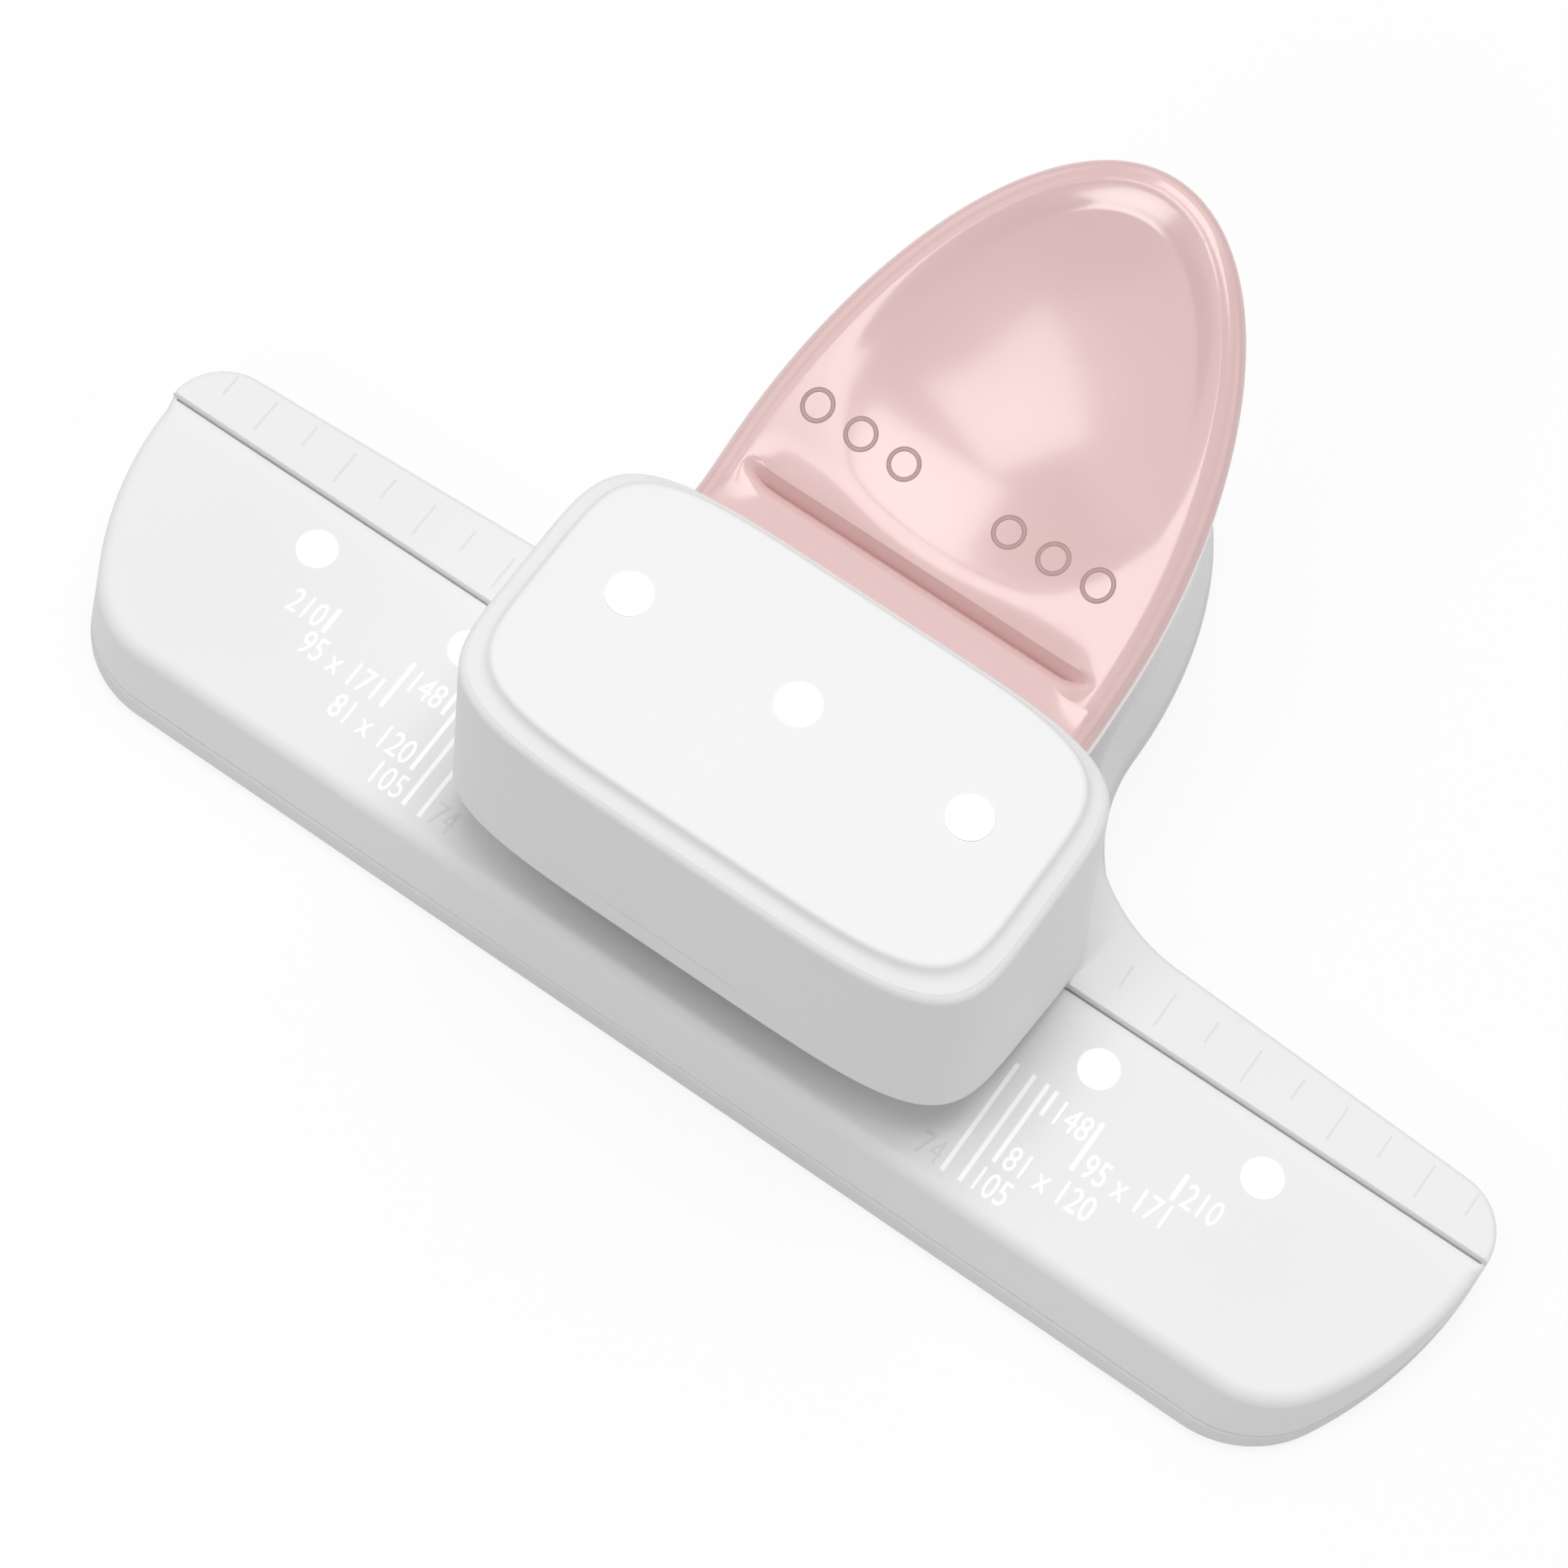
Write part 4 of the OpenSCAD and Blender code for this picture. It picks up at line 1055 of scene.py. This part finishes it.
def ring_on(surface):
    """Shape of a small printed ring that is laid down on a surface."""
    def shape(wire, given):
        line = circle(wire, given["Radius"], 40)
        band = wire.node("GeometryNodeCurvePrimitiveQuadrilateral", None,
                         {"Width": given["Width"], "Height": given["Thickness"]})
        ring = wire.node("GeometryNodeCurveToMesh", None, {"Curve": line, "Profile Curve": band})
        rings = on_spots(wire, given, ring)
        rings = wire.node("GeometryNodeRealizeInstances", None, {0: rings})
        here = wire.node("ShaderNodeSeparateXYZ", None, {0: wire.node("GeometryNodeInputPosition")})
        above = vector(wire, here.port("X"), here.port("Y"), RAY_FROM)
        target = wire.node("GeometryNodeObjectInfo", None, {"Object": surface}).port("Geometry")
        ray = wire.node("GeometryNodeRaycast", None, {"Target Geometry": target, "Source Position": above})
        hit = wire.node("ShaderNodeSeparateXYZ", None, {0: ray.port("Hit Position")})
        drop = vector(wire, z=hit.port("Z"))
        return wire.node("GeometryNodeSetPosition", None, {"Geometry": rings, "Offset": drop})
    return shape


# Springs, screws and feet

COIL_R = 2.6
SPRING_WIRE_R = 0.3
SPRING_LOW = 21.65
SPRING_HIGH = 29.55
SPRING_ANCHOR_Z = 21.3
CLOSED_RISE = 0.62
OPEN_RISE = SPRING_HIGH - SPRING_LOW - 2 * CLOSED_RISE
OPEN_TURNS = 5.0
for x, side in zip(PIN_XS, PIN_NAMES):
    spring = grown("spring_" + side, [(x, 0, SPRING_LOW)], coil, spring_wire, **{
        "Coil radius": COIL_R * MM, "Wire radius": SPRING_WIRE_R * MM, "Open turns": OPEN_TURNS,
        "Closed rise": CLOSED_RISE * MM, "Open rise": OPEN_RISE * MM})
    spring.data.shade_smooth()
    settle(spring, spring_wire, "spring_steel", "body", "return_spring_" + side)
    tuple(placed((x, 0, SPRING_ANCHOR_Z)))
    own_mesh(spring)

screw_low, screw_high = node_box("base_screws")
screw_z = BOTTOM_Z + SCREW_SINK
screw_spots = [spot + (screw_z,) for spot in mirrored_spots(SCREW_SPOTS)]
screws = grown("base_screw_set", screw_spots, cross_screw, bright_steel, **{
    "Head radius": SCREW_HEAD_R * MM, "Head height": (screw_z - screw_low.z) * MM,
    "Shank radius": SCREW_SHANK_R * MM, "Shank length": (screw_high.z - screw_z) * MM})
settle(soften(screws), bright_steel, "bright_steel", "body", "base_screws")

feet = grown("foot_pads", [spot + (0.0,) for spot in mirrored_spots(FOOT_SPOTS)], foot_pad, foot_rubber,
             **{"Radius": FOOT_R * MM, "Height": (BOTTOM_Z + FOOT_SINK) * MM, "Bevel": FOOT_BEVEL * MM})
settle(soften(feet), foot_rubber, "foot_grey", "body", "rubber_feet")


# Printed marks: hole dots, page guides with plain numbers, ruler ticks and rings on the lever

INK_T = 0.05
INK_SINK = 0.02
DECK_DOTS = (38.0, 57.0)
DECK_DOT_R = 2.15
LID_DOT_R = 2.3
GUIDE_W = 0.45
PAGE_GUIDES = [
    (51.0, -4.0, -7.1, "210"), (41.45, -4.4, -10.2, "95 x 171"), (36.0, -4.3, -7.3, "148"),
    (34.9, -4.2, -13.9, "81 x 120"), (33.3, -4.2, -17.4, "105"), (31.3, -4.2, -17.5, "74"),
]
LAST_GUIDE = PAGE_GUIDES[-1][0]
NUMBER_H = 2.7
NUMBER_NARROW = 0.72
NUMBER_GAP = 0.7
DIGIT_SHARE = 0.69
TICK_FROM = 35
TICK_TO = 75
TICK_STEP = 5
TICK_LONG = 4.0
TICK_SHORT = 2.6
TICK_W = 0.25
TICK_GAP = 0.9
RING_XS = (-17.0, -12.0, -7.0, 5.0, 10.0, 15.0)
RING_Y = 28.0
RING_R = 1.45
RING_W = 0.45


def ink_z(surface):
    return surface - INK_SINK


def numbers(name, labels):
    """Plain numbers as one flat mesh: each has its words, its spot and the end that stands there."""
    work = bmesh.new()
    for words, x, y, end in labels:
        curve = bpy.data.curves.new(name, "FONT")
        curve.body = words
        curve.align_x = end
        curve.size = NUMBER_H / DIGIT_SHARE * MM
        curve.extrude = INK_T / 2 * MM
        curve.resolution_u = 4
        holder = shown(name, curve)
        graph = bpy.context.evaluated_depsgraph_get()
        mesh = bpy.data.meshes.new_from_object(holder.evaluated_get(graph), depsgraph=graph)
        spot = placed((x, y, ink_z(DECK_Z) + INK_T / 2))
        mesh.transform(Matrix.Translation(spot) @ Matrix.Diagonal((NUMBER_NARROW, 1, 1, 1)))
        work.from_mesh(mesh)
        bpy.data.objects.remove(holder)
        bpy.data.meshes.remove(mesh)
    bmesh.ops.remove_doubles(work, verts=work.verts, dist=SLIVER * MM)
    bmesh.ops.recalc_face_normals(work, faces=work.faces)
    mesh = bpy.data.meshes.new(name)
    work.to_mesh(mesh)
    work.free()
    return shown(name, mesh)


deck_dots = [(side * x, 0, ink_z(DECK_Z)) for x in DECK_DOTS for side in (1, -1)]
lid_dots = [(x, 0, ink_z(LID_TOP_Z)) for x in PIN_XS]
for name, spots, radius in (("deck_dots", deck_dots, DECK_DOT_R), ("lid_dots", lid_dots, LID_DOT_R)):
    marks = grown(name, spots, dot, white_ink, Radius=radius * MM, Thickness=INK_T * MM)
    settle(marks, white_ink, "shell_white", "body")

guide_spots = [(side * x, (back + front) / 2, ink_z(DECK_Z) + INK_T / 2)
               for x, back, front, _ in PAGE_GUIDES for side in (1, -1)]
guide_lengths = [(back - front) * MM for _, back, front, _ in PAGE_GUIDES for side in (1, -1)]
guides = grown("page_guides", guide_spots, bar, white_ink, guide_lengths,
               Width=GUIDE_W * MM, Thickness=INK_T * MM)
settle(guides, white_ink, "shell_white", "body")

outer, inner = [], []
for x, _, front, words in PAGE_GUIDES:
    way = -1 if x == LAST_GUIDE else 1
    labels = inner if x == LAST_GUIDE else outer
    for side in (1, -1):
        labels.append((words, side * (x + way * NUMBER_GAP), front, "LEFT" if side * way > 0 else "RIGHT"))
settle(numbers("page_numbers", outer), white_ink, "shell_white", "body")
# The inner numbers lie in the shade under the head and are printed grey rather than white: painted shade.
settle(numbers("inner_numbers", inner), grey_ink, "shell_white", "body")

tick_spots, tick_lengths = [], []
for x in range(TICK_FROM, TICK_TO + TICK_STEP, TICK_STEP):
    length = TICK_LONG if x % (2 * TICK_STEP) == 0 else TICK_SHORT
    for side in (1, -1):
        tick_spots.append((side * x, STRIP_BACK - TICK_GAP - length / 2, ink_z(STRIP_TOP_Z) + INK_T / 2))
        tick_lengths.append(length * MM)
ticks = grown("ruler_ticks", tick_spots, bar, grey_ink, tick_lengths,
              Width=TICK_W * MM, Thickness=INK_T * MM)
settle(ticks, grey_ink, "shell_white", "body")

rings = grown("lever_rings", [(x, RING_Y, 0.0) for x in RING_XS], ring_on(spoon), brown_ink,
              Radius=RING_R * MM, Width=RING_W * MM, Thickness=INK_T * MM)
settle(rings, brown_ink, "lever_pink", "lever")

EDGE_BREAK = 0.12
EDGE_ANGLE = math.radians(40)
WELD = 0.005
NODE_FINISHES = {"chip_tray": tray_plastic, "pivot_clips": spring_wire}
for side in PIN_NAMES:
    NODE_FINISHES["punch_pin_" + side] = pin_steel
    NODE_FINISHES["pin_clip_" + side] = spring_wire
for node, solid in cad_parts.items():
    if not solid.hide_render:
        solid.data.materials.clear()
        solid.data.materials.append(NODE_FINISHES.get(node, bright_steel))
        solid.modifiers.new("merge", "WELD").merge_threshold = WELD * MM
        edges = solid.modifiers.new("broken edges", "BEVEL")
        edges.width = EDGE_BREAK * MM
        edges.segments = 2
        edges.angle_limit = EDGE_ANGLE
        edges.harden_normals = True


# Camera, light and floor

CAMERA_AZIMUTH = 28.29
CAMERA_ELEVATION = 66.894
CAMERA_ROLL = 7.161
CAMERA_DISTANCE = 461.72
CAMERA_ASIDE = (0.496, 7.147)
FOCAL_PIXELS = 5755.57
IMAGE_PIXELS = 1932
SENSOR_MM = 36.0
FLOOR_HALF = 3.0
FLOOR_ROUGH = 0.9
FLOOR_GREY = (0.72, 0.72, 0.72, 1)
FLOOR_WHITE = (0.95, 0.95, 0.95, 1)
FLOOR_GLOW = 0.85
WORLD_LEVEL = 0.32
# Name, spot, target, size and brightness of each softbox
SOFTBOXES = [
    ("window_panel", (-0.104, -0.181, 0.661), (0, 0.01, 0.04), (0.13, 0.14), 4.6),
    ("top_panel", (0.0, 0.12, 1.28), (0, 0, 0.03), (0.6, 0.6), 4.9),
    ("front_panel", (-0.48, -0.48, 1.0), (0, 0, 0.03), (0.5, 0.5), 0.8),
    ("back_panel", (0.0, 0.65, 1.1), (0, 0, 0.03), (1.2, 0.7), 0.9),
    ("left_panel", (-0.85, 0.10, 0.55), (0, 0, 0.02), (0.7, 0.6), 0.9),
    ("right_panel", (0.85, 0.12, 0.50), (0, 0, 0.02), (0.7, 0.6), 0.9),
    ("front_strip", (-0.09, -0.64, 0.66), (0, 0.03, 0.05), (0.28, 0.14), 7.0),
]


def add_camera():
    azimuth, elevation = math.radians(CAMERA_AZIMUTH), math.radians(CAMERA_ELEVATION)
    back = Vector((math.sin(azimuth) * math.cos(elevation), -math.cos(azimuth) * math.cos(elevation),
                   math.sin(elevation)))
    right = Vector((0, 0, 1)).cross(back).normalized()
    up = back.cross(right)
    roll = math.radians(CAMERA_ROLL)
    right, up = (math.cos(roll) * right + math.sin(roll) * up,
                 math.cos(roll) * up - math.sin(roll) * right)
    spot = right * CAMERA_ASIDE[0] + up * CAMERA_ASIDE[1] + back * CAMERA_DISTANCE
    data = bpy.data.cameras.new("camera")
    data.sensor_width = SENSOR_MM
    data.lens = SENSOR_MM * FOCAL_PIXELS / IMAGE_PIXELS
    camera = shown("camera", data)
    turn = Matrix((right, up, back)).transposed().to_4x4()
    camera.matrix_world = Matrix.Translation(placed((spot.x, spot.y, spot.z + DECK_Z))) @ turn
    bpy.context.scene.camera = camera


def add_softbox(name, spot, target, size, level):
    """Square or oblong soft light at a spot in metres, facing a target, with its brightness as seen."""
    data = bpy.data.lights.new(name, "AREA")
    data.shape = "RECTANGLE"
    data.size, data.size_y = size
    data.energy = level * math.pi * size[0] * size[1]
    light = shown(name, data)
    turn = (Vector(spot) - Vector(target)).to_track_quat("Z", "Y")
    light.matrix_world = Matrix.Translation(spot) @ turn.to_matrix().to_4x4()


def add_floor():
    ways = ((-1, -1), (1, -1), (1, 1), (-1, 1))
    mesh = bpy.data.meshes.new("floor")
    mesh.from_pydata([(FLOOR_HALF * x, FLOOR_HALF * y, 0) for x, y in ways], [], [(0, 1, 2, 3)])
    floor = shown("floor", mesh)
    material = bpy.data.materials.new("pale_floor")
    material.use_nodes = True
    tree = material.node_tree
    wire = Wire(tree)
    shader = tree.nodes["Principled BSDF"]
    shader.inputs["Roughness"].default_value = FLOOR_ROUGH
    shader.inputs["Specular IOR Level"].default_value = 0.0
    rays = wire.node("ShaderNodeLightPath")
    seen = wire.maths("MAXIMUM", rays.port("Is Camera Ray"), rays.port("Is Glossy Ray"))
    seen = wire.maths("MAXIMUM", seen, rays.port("Is Transmission Ray"))
    tree.links.new(seen.mixed(FLOOR_GREY, FLOOR_WHITE).socket, shader.inputs["Base Color"])
    white = wire.node("ShaderNodeEmission", None, {"Color": (1, 1, 1, 1), "Strength": 1.0})
    blend = wire.node("ShaderNodeMixShader", None,
                      {0: FLOOR_GLOW * seen, 1: Wire(tree, shader.outputs[0]), 2: white})
    tree.links.new(blend.socket, tree.nodes["Material Output"].inputs["Surface"])
    mesh.materials.append(material)


def add_world():
    world = bpy.data.worlds.new("studio")
    bpy.context.scene.world = world
    world.use_nodes = True
    back = world.node_tree.nodes["Background"]
    back.inputs["Color"].default_value = (1.0, 1.0, 1.0, 1)
    back.inputs["Strength"].default_value = WORLD_LEVEL


add_camera()
add_floor()
add_world()
for softbox in SOFTBOXES:
    add_softbox(*softbox)
bpy.context.scene.view_settings.view_transform = "Standard"
